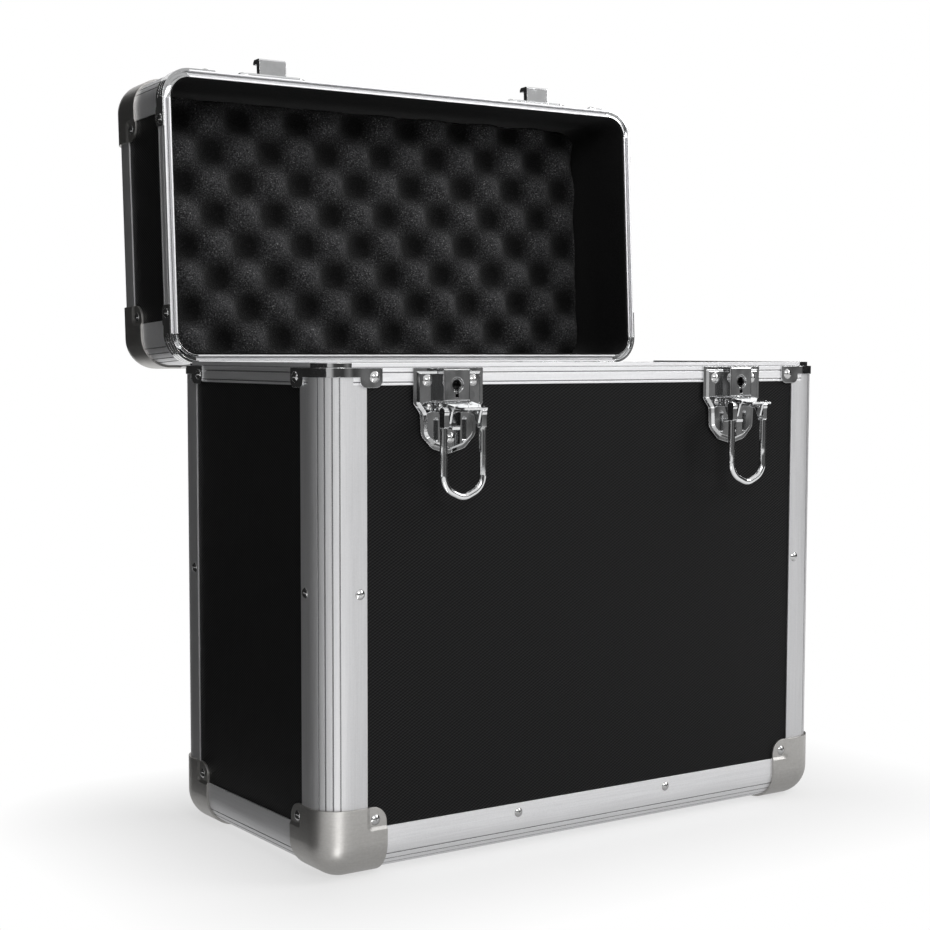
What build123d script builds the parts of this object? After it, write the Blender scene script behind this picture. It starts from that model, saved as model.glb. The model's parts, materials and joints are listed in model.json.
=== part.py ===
"""Record carrying case for 12-inch records, in millimetres.

X runs along the width, -Y is the latch side and Z is up. The origin is the middle of the
case's footprint at floor level. Heights in the functions are measured from the underside of
the base profiles, and every piece is lifted by the height of the feet when it is written.
The lid is modelled closed and swung open about its hinges when it is written.
"""
from build123d import *
import os
from math import cos, radians, sin

# ---------------------------------------------------------------- driving dimensions
WIDTH = 370.0            # across the end profiles
DEPTH = 182.0            # across the front and back profiles
BODY_H = 280.0           # base profile underside to the body's rim
LID_H = 81.0             # lid rim to the top of its profiles
LID_GAP = 0.35           # daylight between the two rims when the lid is shut
LID_OPEN = 93.0          # degrees between shut and resting on the hinge stops
FOOT_H = 2.0             # how far the feet lift the base profiles off the floor

BOARD = 2.6              # thickness of every panel
SKIN = 1.0               # outer leg of the profiles, so panels sit this far inside
SLOT = 2.7               # slot in the profiles that takes the board
LINING = 1.2             # thickness of the wall lining
PAD = 8.0                # thickness of the floor pad
FOAM = 16.0              # mean thickness of the lid foam

LEG = 26.5               # length of the corner profile's outer legs
LIP = 23.0               # how far its inner lips reach
NOSE_R = 18.0            # radius of its rounded nose
INNER_D = SKIN + SLOT + SKIN                  # depth from outer face to the inner lip's face
NOSE_GROOVES = (25.0, 38.0, 52.0, 65.0)       # degrees round the nose
CUT_BACK = LEG + 0.2     # profiles stop this far from the case's corners

RIM_H = 9.5              # height of the rim's outer band
RIM_WEB = 2.6            # thickness of the web that closes the rim
RIM_GROOVES = (2.6, 7.9)                      # groove heights from the rim's edge
TONGUE_H, TONGUE_BACK_H = 2.6, 1.4            # tongue on the body's rim, lower at the hinges
TONGUE_IN, TONGUE_W, TONGUE_BACK_W = 1.6, 1.5, 1.0
NOTCH = 0.7              # side of the square that cuts each V groove

BALL_T = 1.4             # wall of the ball corners
BALL_REACH, BALL_ROUND = 38.5, 9.0            # their edge from the case's corner, its rounding
EAR_OUT, EAR_WALL = 0.4, 0.9                  # pressed ears: proud of the profiles, step's place
EAR_SLOPE = 2.0          # run of the sloping step down to the ears
BALL_RIVET = 31.2        # ear rivets of the ball corners, from the case's corner
BALL_HEAD = (3.0, 1.3)   # radius and height of their heads

RIM_EAR_T = 0.8          # thickness of the rim corners' sheet
RIM_EAR = (22.0, 36.0)   # their ears: near and far edge from the case's corner
RIM_EAR_H, RIM_STRIP_H = 10.8, 5.1            # depth of the ears, and of the strip round the nose
RIM_RIVET_IN, RIM_RIVET_H = 31.0, 5.0         # their rivets: in from the corner, from the rim's edge
LID_RIDGES = (3.2, 6.4)  # grooves between the three ridges of the lid's rim corners

FOOT_X, FOOT_Y, FOOT_R = 52.0, 31.0, 8.0      # feet: in from the ends, in from the front, radius

LATCH_X = 106.0          # latches and strikes stand this far each side of the middle
PLATE_W, PLATE_H, PLATE_T = 46.4, 48.0, 0.8   # latch base plate and its raised field
PLATE_RAISE = 1.6
CASE_W, CASE_H, CASE_OUT = 17.4, 17.8, 9.6    # lock case, measured out from the profile face
CASE_T = 1.0
KEY_DROP = 8.8           # keyhole centre below the top of the lock case
KEY_R, BORE_R, BARREL_R = 3.1, 2.6, 3.5       # keyhole, bore of the lock barrel, the barrel
PIVOT_OUT, PIVOT_DROP = 7.8, 22.0             # lever pivot: out from the face, below the rim
LEVER_DROOP = 10.0       # the open lever slopes down by this many degrees
LEVER_L, LEVER_HALF = 20.0, 10.1              # lever length from its pivot, half width
LEVER_TIP_HALF = 7.4     # half width of the finger plate at its tip
CHEEK_T = 1.2
CHEEK_SLOT_X = 9.5       # slots in the base plate that take the cheeks' tips
BAIL_ON_LEVER = (8.0, -1.0)                   # bail pivot on the lever: along it, across it
BAIL_HALF, WIRE_R = 13.0, 2.1                 # bail legs to middle, wire radius
BAIL_SHOULDER, BAIL_TIP = 41.6, 47.6          # corner points of the bail below its pivot
PIN_R, FIT = 1.2, 0.05                        # small pins and their running clearance
CATCH_UP = 8.1           # seat of the bail on the strike, above the lid's rim
STRIKE_W, STRIKE_H = 51.0, 23.0               # strike plate
HOOK_HALF, HOOK_OUT, HOOK_LIP = 9.6, 12.4, 3.0  # hook: half width, outer face, thickness of its lip
HOOK_UP, HOOK_NECK = 4.6, 4.0                 # height of the lip above the seat, depth of the neck

HINGE_X, HINGE_W = 112.0, 58.0                # hinges: distance from the middle, width
HINGE_OUT, HINGE_DROP = 4.4, 2.4              # hinge axis: behind the back face, below the rim
KNUCKLE_R, HINGE_PIN_R, LEAF_T, LEAF_H = 3.0, 1.5, 1.4, 42.0

GRIP_L, GRIP_W, GRIP_T = 118.0, 19.0, 13.0    # handle grip: length, width, thickness
HANDLE_UP, HANDLE_REACH = 9.0, 40.0           # its axis above the lid, pivot to outer edge

HALF_W, HALF_D = WIDTH / 2, DEPTH / 2
TOP = BODY_H + LID_GAP + LID_H                # top of the shut lid's profiles
LID_RIM = BODY_H + LID_GAP                    # edge of the shut lid's rim
FRONT, BACK = (0, -1, 0), (0, 1, 0)

nodes = {}


# ---------------------------------------------------------------- helpers
def add(name, *solids):
    """Keep the solids of one piece, or of one set of like pieces, under its name."""
    nodes.setdefault(name, []).extend(solids)


def block(x, y, z):
    """Box from three (low, high) pairs."""
    size = [b - a for a, b in (x, y, z)]
    return Pos(*[(a + b) / 2 for a, b in (x, y, z)]) * Box(*size)


def four_ways(solid):
    """A solid at the front left corner and its mirror images at the other three."""
    pair = [solid, mirror(solid, about=Plane.YZ)]
    return pair + [mirror(s, about=Plane.XZ) for s in pair]


def facing(point, normal, solid):
    """Stand a solid that was made on the XY plane on a wall with this outward normal."""
    return Plane(origin=point, z_dir=normal) * solid


def dome(radius, height):
    """Rivet head: a spherical cap on a flat face."""
    cap = (radius ** 2 + height ** 2) / (2 * height)
    half = Polyline((0, height), (0, 0), (radius, 0)) + RadiusArc((radius, 0), (0, height), -cap)
    return revolve(Plane.XZ * make_face(half), Axis.Z)


def rivets(name, radius, height, places):
    """Rivet heads at (point, outward normal) places."""
    add(name, *[facing(p, n, dome(radius, height)) for p, n in places])


# ---------------------------------------------------------------- corner profile
def notch(angle, radius, centre):
    """V groove on an arc, at an angle measured from the leg that runs along local X."""
    a = radians(270 - angle)
    place = Pos(centre + radius * cos(a), centre + radius * sin(a))
    return place * Rot(0, 0, 45 + angle) * Rectangle(NOTCH, NOTCH)


def rounded_square(side, corner_r, low=0.0):
    """Square from (low, low) with only that first corner rounded."""
    square = Pos(low, low) * Rectangle(side, side, align=(Align.MIN, Align.MIN))
    first = min(square.vertices(), key=lambda v: v.X + v.Y)
    return fillet(first, corner_r)


def edge_section():
    """Section with its outer corner at the origin: grooved nose, two slots and a hollow."""
    inner_r = NOSE_R - INNER_D
    section = rounded_square(LEG, NOSE_R) - rounded_square(LEG, inner_r, INNER_D)
    slot = Pos(NOSE_R, SKIN) * Rectangle(LEG, SLOT, align=(Align.MIN, Align.MIN))
    lip_end = Pos(LIP, SKIN) * Rectangle(LEG, INNER_D, align=(Align.MIN, Align.MIN))
    diagonal = Plane(origin=(0, 0, 0), z_dir=(1, -1, 0))
    for cut in (slot, lip_end):
        section -= cut
        section -= mirror(cut, about=diagonal)
    ring = Circle(NOSE_R - SKIN) - Circle(inner_r + SKIN)
    wall = NOSE_R - SKIN
    section -= (Pos(NOSE_R, NOSE_R) * ring) & Rectangle(wall, wall, align=(Align.MIN, Align.MIN))
    for angle in NOSE_GROOVES:
        section -= notch(angle, NOSE_R, NOSE_R)
    return section


def along_x(section, length):
    """Extrude a section whose local X runs inward from the front and local Y runs up."""
    plane = Plane(origin=(-length / 2, -HALF_D, 0), x_dir=(0, 1, 0), z_dir=(1, 0, 0))
    return extrude(plane * section, length)


def along_y(section, length):
    """Extrude a section whose local X runs inward from the left and local Y runs up."""
    plane = Plane(origin=(-HALF_W, length / 2, 0), x_dir=(1, 0, 0), z_dir=(0, -1, 0))
    return extrude(plane * section, length)


# ---------------------------------------------------------------- rim
def rim_section(tongue_w, tongue_h):
    """Body rim: local X inward, local Y up, edge at zero, board slot below the web."""
    band = Rectangle(INNER_D, RIM_H, align=(Align.MIN, Align.MAX))
    slot = Pos(SKIN, -RIM_WEB) * Rectangle(SLOT, RIM_H, align=(Align.MIN, Align.MAX))
    section = band - slot
    if tongue_h:
        section += Pos(TONGUE_IN, 0) * Rectangle(tongue_w, tongue_h, align=(Align.MIN, Align.MIN))
    for drop in RIM_GROOVES:
        section -= Pos(0, -drop) * Rot(0, 0, 45) * Rectangle(NOTCH, NOTCH)
    return section


def lid_rim_section():
    """Lid rim: the same band turned over, with a groove that takes the body's tongue."""
    band = Rectangle(INNER_D, RIM_H, align=(Align.MIN, Align.MIN))
    groove = Pos(SKIN, 0) * Rectangle(SLOT, TONGUE_H + 0.6, align=(Align.MIN, Align.MIN))
    web_top = TONGUE_H + 0.6 + 1.4
    slot = Pos(SKIN, web_top) * Rectangle(SLOT, RIM_H, align=(Align.MIN, Align.MIN))
    section = band - groove - slot
    for up in RIM_GROOVES:
        section -= Pos(0, up) * Rot(0, 0, 45) * Rectangle(NOTCH, NOTCH)
    return section


def quarter_ring(outer_d, inner_d, low, high):
    """Quarter turn at the front left corner between two depths from the outer face."""
    centre = (-HALF_W + NOSE_R, -HALF_D + NOSE_R)
    ring = Pos(*centre) * (Circle(NOSE_R - outer_d) - Circle(NOSE_R - inner_d))
    quadrant = Pos(*centre) * Rectangle(60, 60, align=(Align.MAX, Align.MAX))
    return Pos(0, 0, low) * extrude(ring & quadrant, high - low)


def rim_corner_ear(depth, strip):
    """Sheet on the front face below the rim's edge: a strip from the nose, then a rounded ear."""
    near, far = RIM_EAR
    plate = Pos(near, 0) * Rectangle(far - near, depth, align=(Align.MIN, Align.MAX))
    plate = fillet(plate.vertices().sort_by(Axis.Y)[:2], 4.0)
    plate += Pos(NOSE_R, 0) * Rectangle(near - NOSE_R + 1.0, strip, align=(Align.MIN, Align.MAX))
    corner = Plane(origin=(-HALF_W, -HALF_D, BODY_H), x_dir=(1, 0, 0), z_dir=FRONT)
    return extrude(corner * plate, RIM_EAR_T)


def side_twin(solid):
    """The same piece on the left face: swapped about the corner's diagonal plane."""
    plane = Plane(origin=(-HALF_W, -HALF_D, 0), z_dir=(1, -1, 0))
    return mirror(solid, about=plane)


def body_rim():
    span_x, span_y = WIDTH - 2 * NOSE_R, DEPTH - 2 * NOSE_R
    high = rim_section(TONGUE_W, TONGUE_H)
    low = rim_section(TONGUE_BACK_W, TONGUE_BACK_H)
    front = Pos(0, 0, BODY_H) * along_x(high, span_x)
    back = mirror(Pos(0, 0, BODY_H) * along_x(low, span_x), about=Plane.XZ)
    left = Pos(0, 0, BODY_H) * along_y(high, span_y)
    add("body_rim_front", front)
    add("body_rim_back", back)
    add("body_rim_left", left)
    add("body_rim_right", mirror(left, about=Plane.YZ))


def body_rim_corners():
    """Chrome turn at each mouth corner: a strip round the nose with an ear down each side."""
    ear = rim_corner_ear(RIM_EAR_H, RIM_STRIP_H)
    for back in (False, True):
        width = TONGUE_BACK_W if back else TONGUE_W
        height = TONGUE_BACK_H if back else TONGUE_H
        corner = quarter_ring(-RIM_EAR_T, INNER_D, BODY_H - RIM_STRIP_H, BODY_H)
        corner += quarter_ring(TONGUE_IN, TONGUE_IN + width, BODY_H, BODY_H + height)
        corner += ear
        corner += side_twin(ear)
        pair = [corner, mirror(corner, about=Plane.YZ)]
        if back:
            pair = [mirror(s, about=Plane.XZ) for s in pair]
        add("body_rim_corners", *pair)


def lid_rim_frame():
    span_x, span_y = WIDTH - 2 * NOSE_R, DEPTH - 2 * NOSE_R
    section = lid_rim_section()
    front = Pos(0, 0, LID_RIM) * along_x(section, span_x)
    left = Pos(0, 0, LID_RIM) * along_y(section, span_y)
    add("lid_rim_frame", front, mirror(front, about=Plane.XZ), left, mirror(left, about=Plane.YZ))


def lid_rim_corners():
    """Chrome turn of the lid's rim: ridged round the nose, hollow for the tongue, with ears."""
    corner = quarter_ring(-RIM_EAR_T, INNER_D, LID_RIM, LID_RIM + RIM_H)
    corner -= quarter_ring(SKIN, SKIN + SLOT, LID_RIM, LID_RIM + TONGUE_H + 0.6)
    for up in LID_RIDGES:
        groove = (LID_RIM + up - NOTCH / 2, LID_RIM + up + NOTCH / 2)
        corner -= quarter_ring(-RIM_EAR_T - 0.1, -RIM_EAR_T + NOTCH / 2, *groove)
    across_gap = Plane(origin=(0, 0, BODY_H + LID_GAP / 2), z_dir=(0, 0, 1))
    ear = mirror(rim_corner_ear(RIM_EAR_H, RIM_H), about=across_gap)
    corner += ear
    corner += side_twin(ear)
    add("lid_rim_corners", *four_ways(corner))


# ---------------------------------------------------------------- corner posts and base edges
def post(low, high, nose_low, nose_high):
    """Upright corner profile whose nose runs on past its legs to meet the rim corner."""
    corner = Pos(-HALF_W, -HALF_D, 0)
    section = corner * edge_section()
    solid = Pos(0, 0, low) * extrude(section, high - low)
    nose_box = corner * Rectangle(NOSE_R, NOSE_R, align=(Align.MIN, Align.MIN))
    nose = section & nose_box
    if nose_high > high:
        solid += Pos(0, 0, high) * extrude(nose, nose_high - high)
    if nose_low < low:
        solid += Pos(0, 0, nose_low) * extrude(nose, low - nose_low)
    return solid


def body_posts():
    top = BODY_H - RIM_H - 0.1
    names = ("front_left", "front_right", "back_left", "back_right")
    for name, solid in zip(names, four_ways(post(CUT_BACK, top, CUT_BACK, BODY_H - 5.1))):
        add("body_corner_post_" + name, solid)


def lid_posts():
    low = LID_RIM + RIM_H + 0.1
    add("lid_corner_posts", *four_ways(post(low, TOP - CUT_BACK, low, 0)))


def base_edges():
    section = edge_section()
    front = along_x(section, WIDTH - 2 * CUT_BACK)
    left = along_y(section, DEPTH - 2 * CUT_BACK)
    add("base_edge_front", front)
    add("base_edge_back", mirror(front, about=Plane.XZ))
    add("base_edge_left", left)
    add("base_edge_right", mirror(left, about=Plane.YZ))


def lid_edges():
    """The base edges' profile turned over for the lid's top."""
    flip = Plane(origin=(0, 0, TOP / 2), z_dir=(0, 0, 1))
    for side in ("front", "back", "left", "right"):
        for solid in nodes["base_edge_" + side]:
            add("lid_top_edge_" + side, mirror(solid, about=flip))


# ---------------------------------------------------------------- panels and linings
def panels():
    """Boards of body and lid: they sit in the profiles' slots."""
    end_x, end_y = HALF_W - NOSE_R, HALF_D - NOSE_R
    d0, d1 = SKIN + 0.05, SKIN + 0.05 + BOARD
    body_z = (NOSE_R, BODY_H - RIM_WEB)
    lid_z = (LID_RIM + TONGUE_H + 2.0, TOP - NOSE_R)
    for part, z in (("body", body_z), ("lid", lid_z)):
        front = block((-end_x, end_x), (-HALF_D + d0, -HALF_D + d1), z)
        left = block((-HALF_W + d0, -HALF_W + d1), (-end_y, end_y), z)
        add(part + "_front_panel", front)
        add(part + "_back_panel", mirror(front, about=Plane.XZ))
        add(part + "_left_panel", left)
        add(part + "_right_panel", mirror(left, about=Plane.YZ))
    add("body_base_panel", block((-end_x, end_x), (-end_y, end_y), (d0, d1)))
    add("lid_top_panel", block((-end_x, end_x), (-end_y, end_y), (TOP - d1, TOP - d0)))


def wall_lining(name, low, high):
    """Four flat linings that fill the walls between the corner profiles' lips."""
    d0 = SKIN + 0.05 + BOARD
    end_x, end_y = HALF_W - LIP - 0.2, HALF_D - LIP - 0.2
    front = block((-end_x, end_x), (-HALF_D + d0, -HALF_D + d0 + LINING), (low, high))
    left = block((-HALF_W + d0, -HALF_W + d0 + LINING), (-end_y, end_y), (low, high))
    add(name, front, mirror(front, about=Plane.XZ), left, mirror(left, about=Plane.YZ))


def bevelled_pad(thick):
    """Foam sheet on a board: its edges slope in over the profiles' inner corners."""
    narrow, wide = NOSE_R - 0.8, INNER_D + 1.5
    low = RectangleRounded(WIDTH - 2 * narrow, DEPTH - 2 * narrow, 2.0)
    high = RectangleRounded(WIDTH - 2 * wide, DEPTH - 2 * wide, NOSE_R - wide)
    pad = loft([low, Pos(0, 0, PAD) * high])
    if thick > PAD:
        pad += Pos(0, 0, PAD) * extrude(high, thick - PAD)
    return Pos(0, 0, INNER_D + 0.05) * pad


def linings():
    """Soft parts: flat linings on the walls, a floor pad and the lid's foam."""
    wall_lining("body_wall_lining", LIP + 0.2, BODY_H - RIM_H - 0.1)
    wall_lining("lid_wall_lining", LID_RIM + RIM_H + 0.1, TOP - LIP - 0.2)
    add("body_floor_pad", bevelled_pad(PAD))
    add("lid_foam_pad", mirror(bevelled_pad(FOAM), about=Plane(origin=(0, 0, TOP / 2))))


# ---------------------------------------------------------------- ball corners
def ball_corner():
    """Pressed corner at the front left foot of the body; an ear on each face lies on the board."""
    grown = NOSE_R + BALL_T
    side = BALL_REACH + BALL_T
    skin = block((-BALL_T, BALL_REACH), (-BALL_T, BALL_REACH), (-BALL_T, BALL_REACH))
    core = block((0, side), (0, side), (0, side))
    skin = fillet(edges_at(skin, -BALL_T), grown)
    core = fillet(edges_at(core, 0), NOSE_R)
    shell = skin - core
    low, wall = LEG + 0.2, LEG + EAR_WALL
    ear = rounded_square(BALL_REACH - low, 0.8, low)
    ear = fillet(max(ear.vertices(), key=lambda v: v.X + v.Y), BALL_ROUND)
    corner = Rectangle(BALL_ROUND, BALL_ROUND, align=(Align.MAX, Align.MAX))
    corner -= Pos(-BALL_ROUND, -BALL_ROUND) * Circle(BALL_ROUND)
    waste = Pos(0, 0, -BALL_T) * extrude(Pos(BALL_REACH, BALL_REACH) * corner, BALL_T)
    mouth = Pos(0, 0, -BALL_T) * rounded_square(LEG + EAR_SLOPE, 3.0, wall - EAR_SLOPE)
    pocket = loft([mouth, Pos(0, 0, -EAR_OUT) * rounded_square(LEG, 3.0, wall)])
    sheet = Pos(0, 0, -EAR_OUT) * extrude(ear, EAR_OUT + SKIN)
    for face in (Plane.XY, Plane.YZ, Plane.ZX):
        shell = shell - face * waste - face * pocket + face * sheet
    return Pos(-HALF_W, -HALF_D, 0) * shell


def edges_at(solid, low):
    """The three edges of a block that meet at its lowest corner."""
    return [e for e in solid.edges() if sum(abs(c - low) < 1e-6 for c in e.center()) == 2]


def ball_corners():
    base = four_ways(ball_corner())
    flip = Plane(origin=(0, 0, TOP / 2), z_dir=(0, 0, 1))
    add("base_ball_corners", *base)
    add("lid_ball_corners", *[mirror(s, about=flip) for s in base])


# ---------------------------------------------------------------- rivets and feet
def corner_places(ear_z, up):
    """Rivet places on the ears of the ball corners."""
    x, y = HALF_W - BALL_RIVET, HALF_D - BALL_RIVET
    places = []
    for sx in (-1, 1):
        for sy in (-1, 1):
            places.append(((sx * x, sy * (HALF_D + EAR_OUT), ear_z), (0, sy, 0)))
            places.append(((sx * (HALF_W + EAR_OUT), sy * y, ear_z), (sx, 0, 0)))
            flat_z = TOP + EAR_OUT if up else -EAR_OUT
            places.append(((sx * x, sy * y, flat_z), (0, 0, 1 if up else -1)))
    return places


def all_rivets():
    post_z, post_in = 157.0, 22.0
    post_places = []
    for sx in (-1, 1):
        for sy in (-1, 1):
            post_places.append(((sx * (HALF_W - post_in), sy * HALF_D, post_z), (0, sy, 0)))
            post_places.append(((sx * HALF_W, sy * (HALF_D - post_in), post_z), (sx, 0, 0)))
    rivets("body_rivets", 3.0, 1.4, post_places)
    edge_places = [((x, sy * HALF_D, 21.0), (0, sy, 0)) for x in (-56.0, 56.0) for sy in (-1, 1)]
    rivets("body_rivets", 2.8, 1.3, edge_places)
    for name, z in (("body_rivets", BODY_H - RIM_RIVET_H), ("lid_rivets", LID_RIM + RIM_RIVET_H)):
        x, y = HALF_W - RIM_RIVET_IN, HALF_D - RIM_RIVET_IN
        front = [((sx * x, sy * (HALF_D + RIM_EAR_T), z), (0, sy, 0)) for sx in (-1, 1) for sy in (-1, 1)]
        ends = [((sx * (HALF_W + RIM_EAR_T), sy * y, z), (sx, 0, 0)) for sx in (-1, 1) for sy in (-1, 1)]
        rivets(name, 3.2, 1.7, front + ends)
    rivets("body_rivets", *BALL_HEAD, corner_places(BALL_RIVET, False))
    rivets("lid_rivets", *BALL_HEAD, corner_places(TOP - BALL_RIVET, True))


def feet():
    """Low rubber feet astride the base profiles and board, each with a screw recess."""
    section = Polyline((0, 0), (FOOT_R, 0), (FOOT_R - 0.3, 0.8 - FOOT_H), (FOOT_R - 1.1, -FOOT_H),
                       (3.6, -FOOT_H), (3.2, -FOOT_H + 1.2), (0, -FOOT_H + 1.2), (0, 0))
    foot = revolve(Plane.XZ * make_face(section), Axis.Z)
    over_board = block((-30, 30), (LEG + 0.1 - FOOT_Y, 30), (0, SKIN + 0.05))
    foot += extrude(Circle(FOOT_R), SKIN + 0.05) & over_board
    add("base_feet", *four_ways(Pos(-HALF_W + FOOT_X, -HALF_D + FOOT_Y, 0) * foot))


# ---------------------------------------------------------------- draw latch
def latch_point(x, out, up):
    """A point of the latch: across, out from the front profiles, up from the body's rim."""
    return (x, -HALF_D - out, BODY_H + up)


def front_slab(outline, out, thickness):
    """Extrude an outline drawn in X and Z outwards from the front face."""
    plane = Plane(origin=(0, -HALF_D - out, BODY_H), x_dir=(1, 0, 0), z_dir=FRONT)
    return extrude(plane * outline, thickness)


def shield(inset):
    """Outline of the latch plate: square top, waisted below and rounded at the foot."""
    half, waist, low = PLATE_W / 2 - inset, 18.8 - inset, inset - PLATE_H
    right = [(half, -inset), (half, -19.6), (waist, -25.4), (waist - 0.6, -37.6),
             (10.8 - inset / 2, low + 3.0)]
    left = [(-x, y) for x, y in reversed(right)]
    sketch = make_face(Polyline(*right, (0, low), *left, close=True))
    sketch = fillet([v for v in sketch.vertices() if v.Y < -30], 6.0)
    return fillet([v for v in sketch.vertices() if -27.0 < v.Y < -18.0], 2.4)


def across(half_from, half_to, section):
    """Extrude a section in (out, up) coordinates from one X to another."""
    plane = Plane(origin=(half_from, -HALF_D, BODY_H), x_dir=(0, -1, 0), z_dir=(-1, 0, 0))
    return extrude(plane * section, half_from - half_to)


def latch_base():
    plate = front_slab(shield(0.0), 0.0, PLATE_T)
    field = Plane(origin=(0, -HALF_D - PLATE_T, BODY_H), x_dir=(1, 0, 0), z_dir=FRONT) * shield(2.0)
    plate += extrude(field, PLATE_RAISE, taper=38)
    below_rim = Pos(0, -RIM_H - 0.6) * Rectangle(PLATE_W, PLATE_H, align=(Align.CENTER, Align.MAX))
    plate += front_slab(shield(1.0) & below_rim, -SKIN - 0.05, SKIN + 0.05)
    for side in (-1, 1):
        slot = Pos(side * CHEEK_SLOT_X, -34.4) * SlotOverall(13.6, 3.0, rotation=90)
        plate -= front_slab(slot, 0.0, 2 * (PLATE_T + PLATE_RAISE))
    top = PLATE_T + PLATE_RAISE
    ear = Pos(PIVOT_OUT / 2, -PIVOT_DROP) * Rectangle(PIVOT_OUT, 5.6)
    ear += Pos(PIVOT_OUT, -PIVOT_DROP) * Circle(2.8)
    ear -= Pos(PIVOT_OUT, -PIVOT_DROP) * Circle(PIN_R)
    for low in (8.4, -7.2):
        plate += across(low, low - 1.2, ear)
    tab = Polyline((top - 0.4, -33.6), (8.6, -34.4), (8.8, -32.6), (7.6, -33.1), (top - 0.4, -32.4),
                   close=True)
    plate += across(2.6, -2.6, make_face(tab))
    return plate


def key_hole():
    hole = Circle(KEY_R) + Pos(0, -4.6) * Rectangle(2.2, 5.0)
    return Pos(0, -0.6 - KEY_DROP) * hole


def lock_case():
    """Hollow pressed box with a keyhole and a collar that carries the lock barrel."""
    low, high = -0.6 - CASE_H, -0.6
    back = PLATE_T + PLATE_RAISE
    outline = Pos(0, (low + high) / 2) * Rectangle(CASE_W, CASE_H)
    shell = front_slab(outline, back, CASE_OUT - back)
    front_edges = [e for e in shell.edges() if abs(e.center().Y + HALF_D + CASE_OUT) < 1e-6]
    shell = fillet(front_edges, 0.7)
    room = Pos(0, (low + high) / 2) * Rectangle(CASE_W - 2 * CASE_T, CASE_H - 2 * CASE_T)
    shell -= front_slab(room, back, CASE_OUT - back - CASE_T)
    centre = Pos(0, -0.6 - KEY_DROP)
    collar = centre * (Circle(BARREL_R + 1.5) - Circle(BARREL_R + FIT))
    shell += front_slab(collar, CASE_OUT - CASE_T - 3.2, 3.2)
    shell -= front_slab(centre * Circle(4.2), CASE_OUT - 0.4, 0.4)
    shell -= front_slab(key_hole(), CASE_OUT - CASE_T, CASE_T)
    return shell


def lock_cam():
    """Barrel behind the keyhole with the flat tongue that a key turns."""
    centre = Pos(0, -0.6 - KEY_DROP)
    front = CASE_OUT - CASE_T - 0.1
    barrel = front_slab(centre * Circle(BARREL_R), front - 4.6, 4.6)
    barrel -= front_slab(centre * Circle(BORE_R), front - 4.0, 4.0)
    tongue = centre * Pos(1.5, 0) * SlotOverall(9.6, 4.0)
    return barrel + front_slab(tongue, front - 5.8, 1.2)


def lever_section(half_from, half_to, outline, droop):
    """Extrude lever geometry drawn along and across the lever, then droop it."""
    turned = Pos(PIVOT_OUT, -PIVOT_DROP) * Rot(0, 0, -droop) * outline
    return across(half_from, half_to, turned)


def lever(droop):
    """Folded lever: a tapered finger plate with an upturned lip, and two pierced cheeks."""
    plate = make_face(Polyline((3.0, 2.2), (LEVER_L - 3, 2.2), (LEVER_L, 2.7), (LEVER_L, 3.9),
                               (LEVER_L - 3.4, 3.4), (3.0, 3.4), close=True))
    cheek = make_face(Polyline((-1.6, 3.4), (13.6, 3.4), (11.4, 0.4), (10.4, -7.2), (8.6, -7.2),
                               (5.6, -3.2), (-1.6, -2.8), close=True))
    cheek = fillet([v for v in cheek.vertices() if v.Y < -4], 0.8)
    cheek = fillet([v for v in cheek.vertices() if v.X < 0], 2.4)
    cheek = fillet([v for v in cheek.vertices() if abs(v.X - 11.4) < 0.01], 6.0)
    cheek -= Circle(PIN_R + FIT)
    cheek -= Pos(*BAIL_ON_LEVER) * Circle(PIN_R + FIT)
    sheet = lever_section(LEVER_HALF, -LEVER_HALF, plate, droop)
    a = radians(droop)
    top = Plane(origin=latch_point(0, PIVOT_OUT, -PIVOT_DROP), x_dir=(1, 0, 0), z_dir=(0, sin(a), -cos(a)))
    taper = Polyline((-LEVER_HALF, 0), (-LEVER_HALF, 8.0), (-LEVER_TIP_HALF, LEVER_L + 1),
                     (LEVER_TIP_HALF, LEVER_L + 1), (LEVER_HALF, 8.0), (LEVER_HALF, 0), close=True)
    solid = sheet & extrude(top * make_face(taper), 8.0, both=True)
    for start in (LEVER_HALF, -LEVER_HALF + CHEEK_T):
        solid += lever_section(start, start - CHEEK_T, cheek, droop)
    return solid


def bail_pivot(droop):
    """Bail pivot in (out, up) coordinates with the lever drooping by this angle."""
    a = radians(-droop)
    along, over = BAIL_ON_LEVER
    return (PIVOT_OUT + along * cos(a) - over * sin(a), -PIVOT_DROP + along * sin(a) + over * cos(a))


def bail():
    """Bent wire loop with flattened ends and inward stubs, hanging from its pivot."""
    out, up = bail_pivot(LEVER_DROOP)
    top = -8.5
    points = [(-BAIL_HALF, top), (-BAIL_HALF, -BAIL_SHOULDER), (0, -BAIL_TIP), (BAIL_HALF, -BAIL_SHOULDER),
              (BAIL_HALF, top)]
    path = Plane.XZ * FilletPolyline(*points, radius=[10.5, 9.0, 10.5])
    wire = sweep(Plane(origin=path @ 0, z_dir=path % 0) * Circle(WIRE_R), path=path)
    inner, outer = LEVER_HALF + 0.8, BAIL_HALF + 1.1
    for side in (-1, 1):
        middle = side * (inner + outer) / 2
        flat = Pos(middle, 0, top / 2) * Box(outer - inner, 4.8, -top + 0.6)
        flat = chamfer(flat.edges().filter_by(Axis.X).group_by(Axis.Z)[0], 0.8)
        eye = Pos(middle, 0, 0) * Rot(0, 90, 0) * Cylinder(2.8, outer - inner)
        stub_in = LEVER_HALF - CHEEK_T - 0.4
        stub = Pos(side * (stub_in + outer) / 2, 0, 0) * Rot(0, 90, 0) * Cylinder(PIN_R, outer - stub_in)
        wire += flat
        wire += eye
        wire += stub
    return Pos(*latch_point(0, out, up)) * wire


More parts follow.
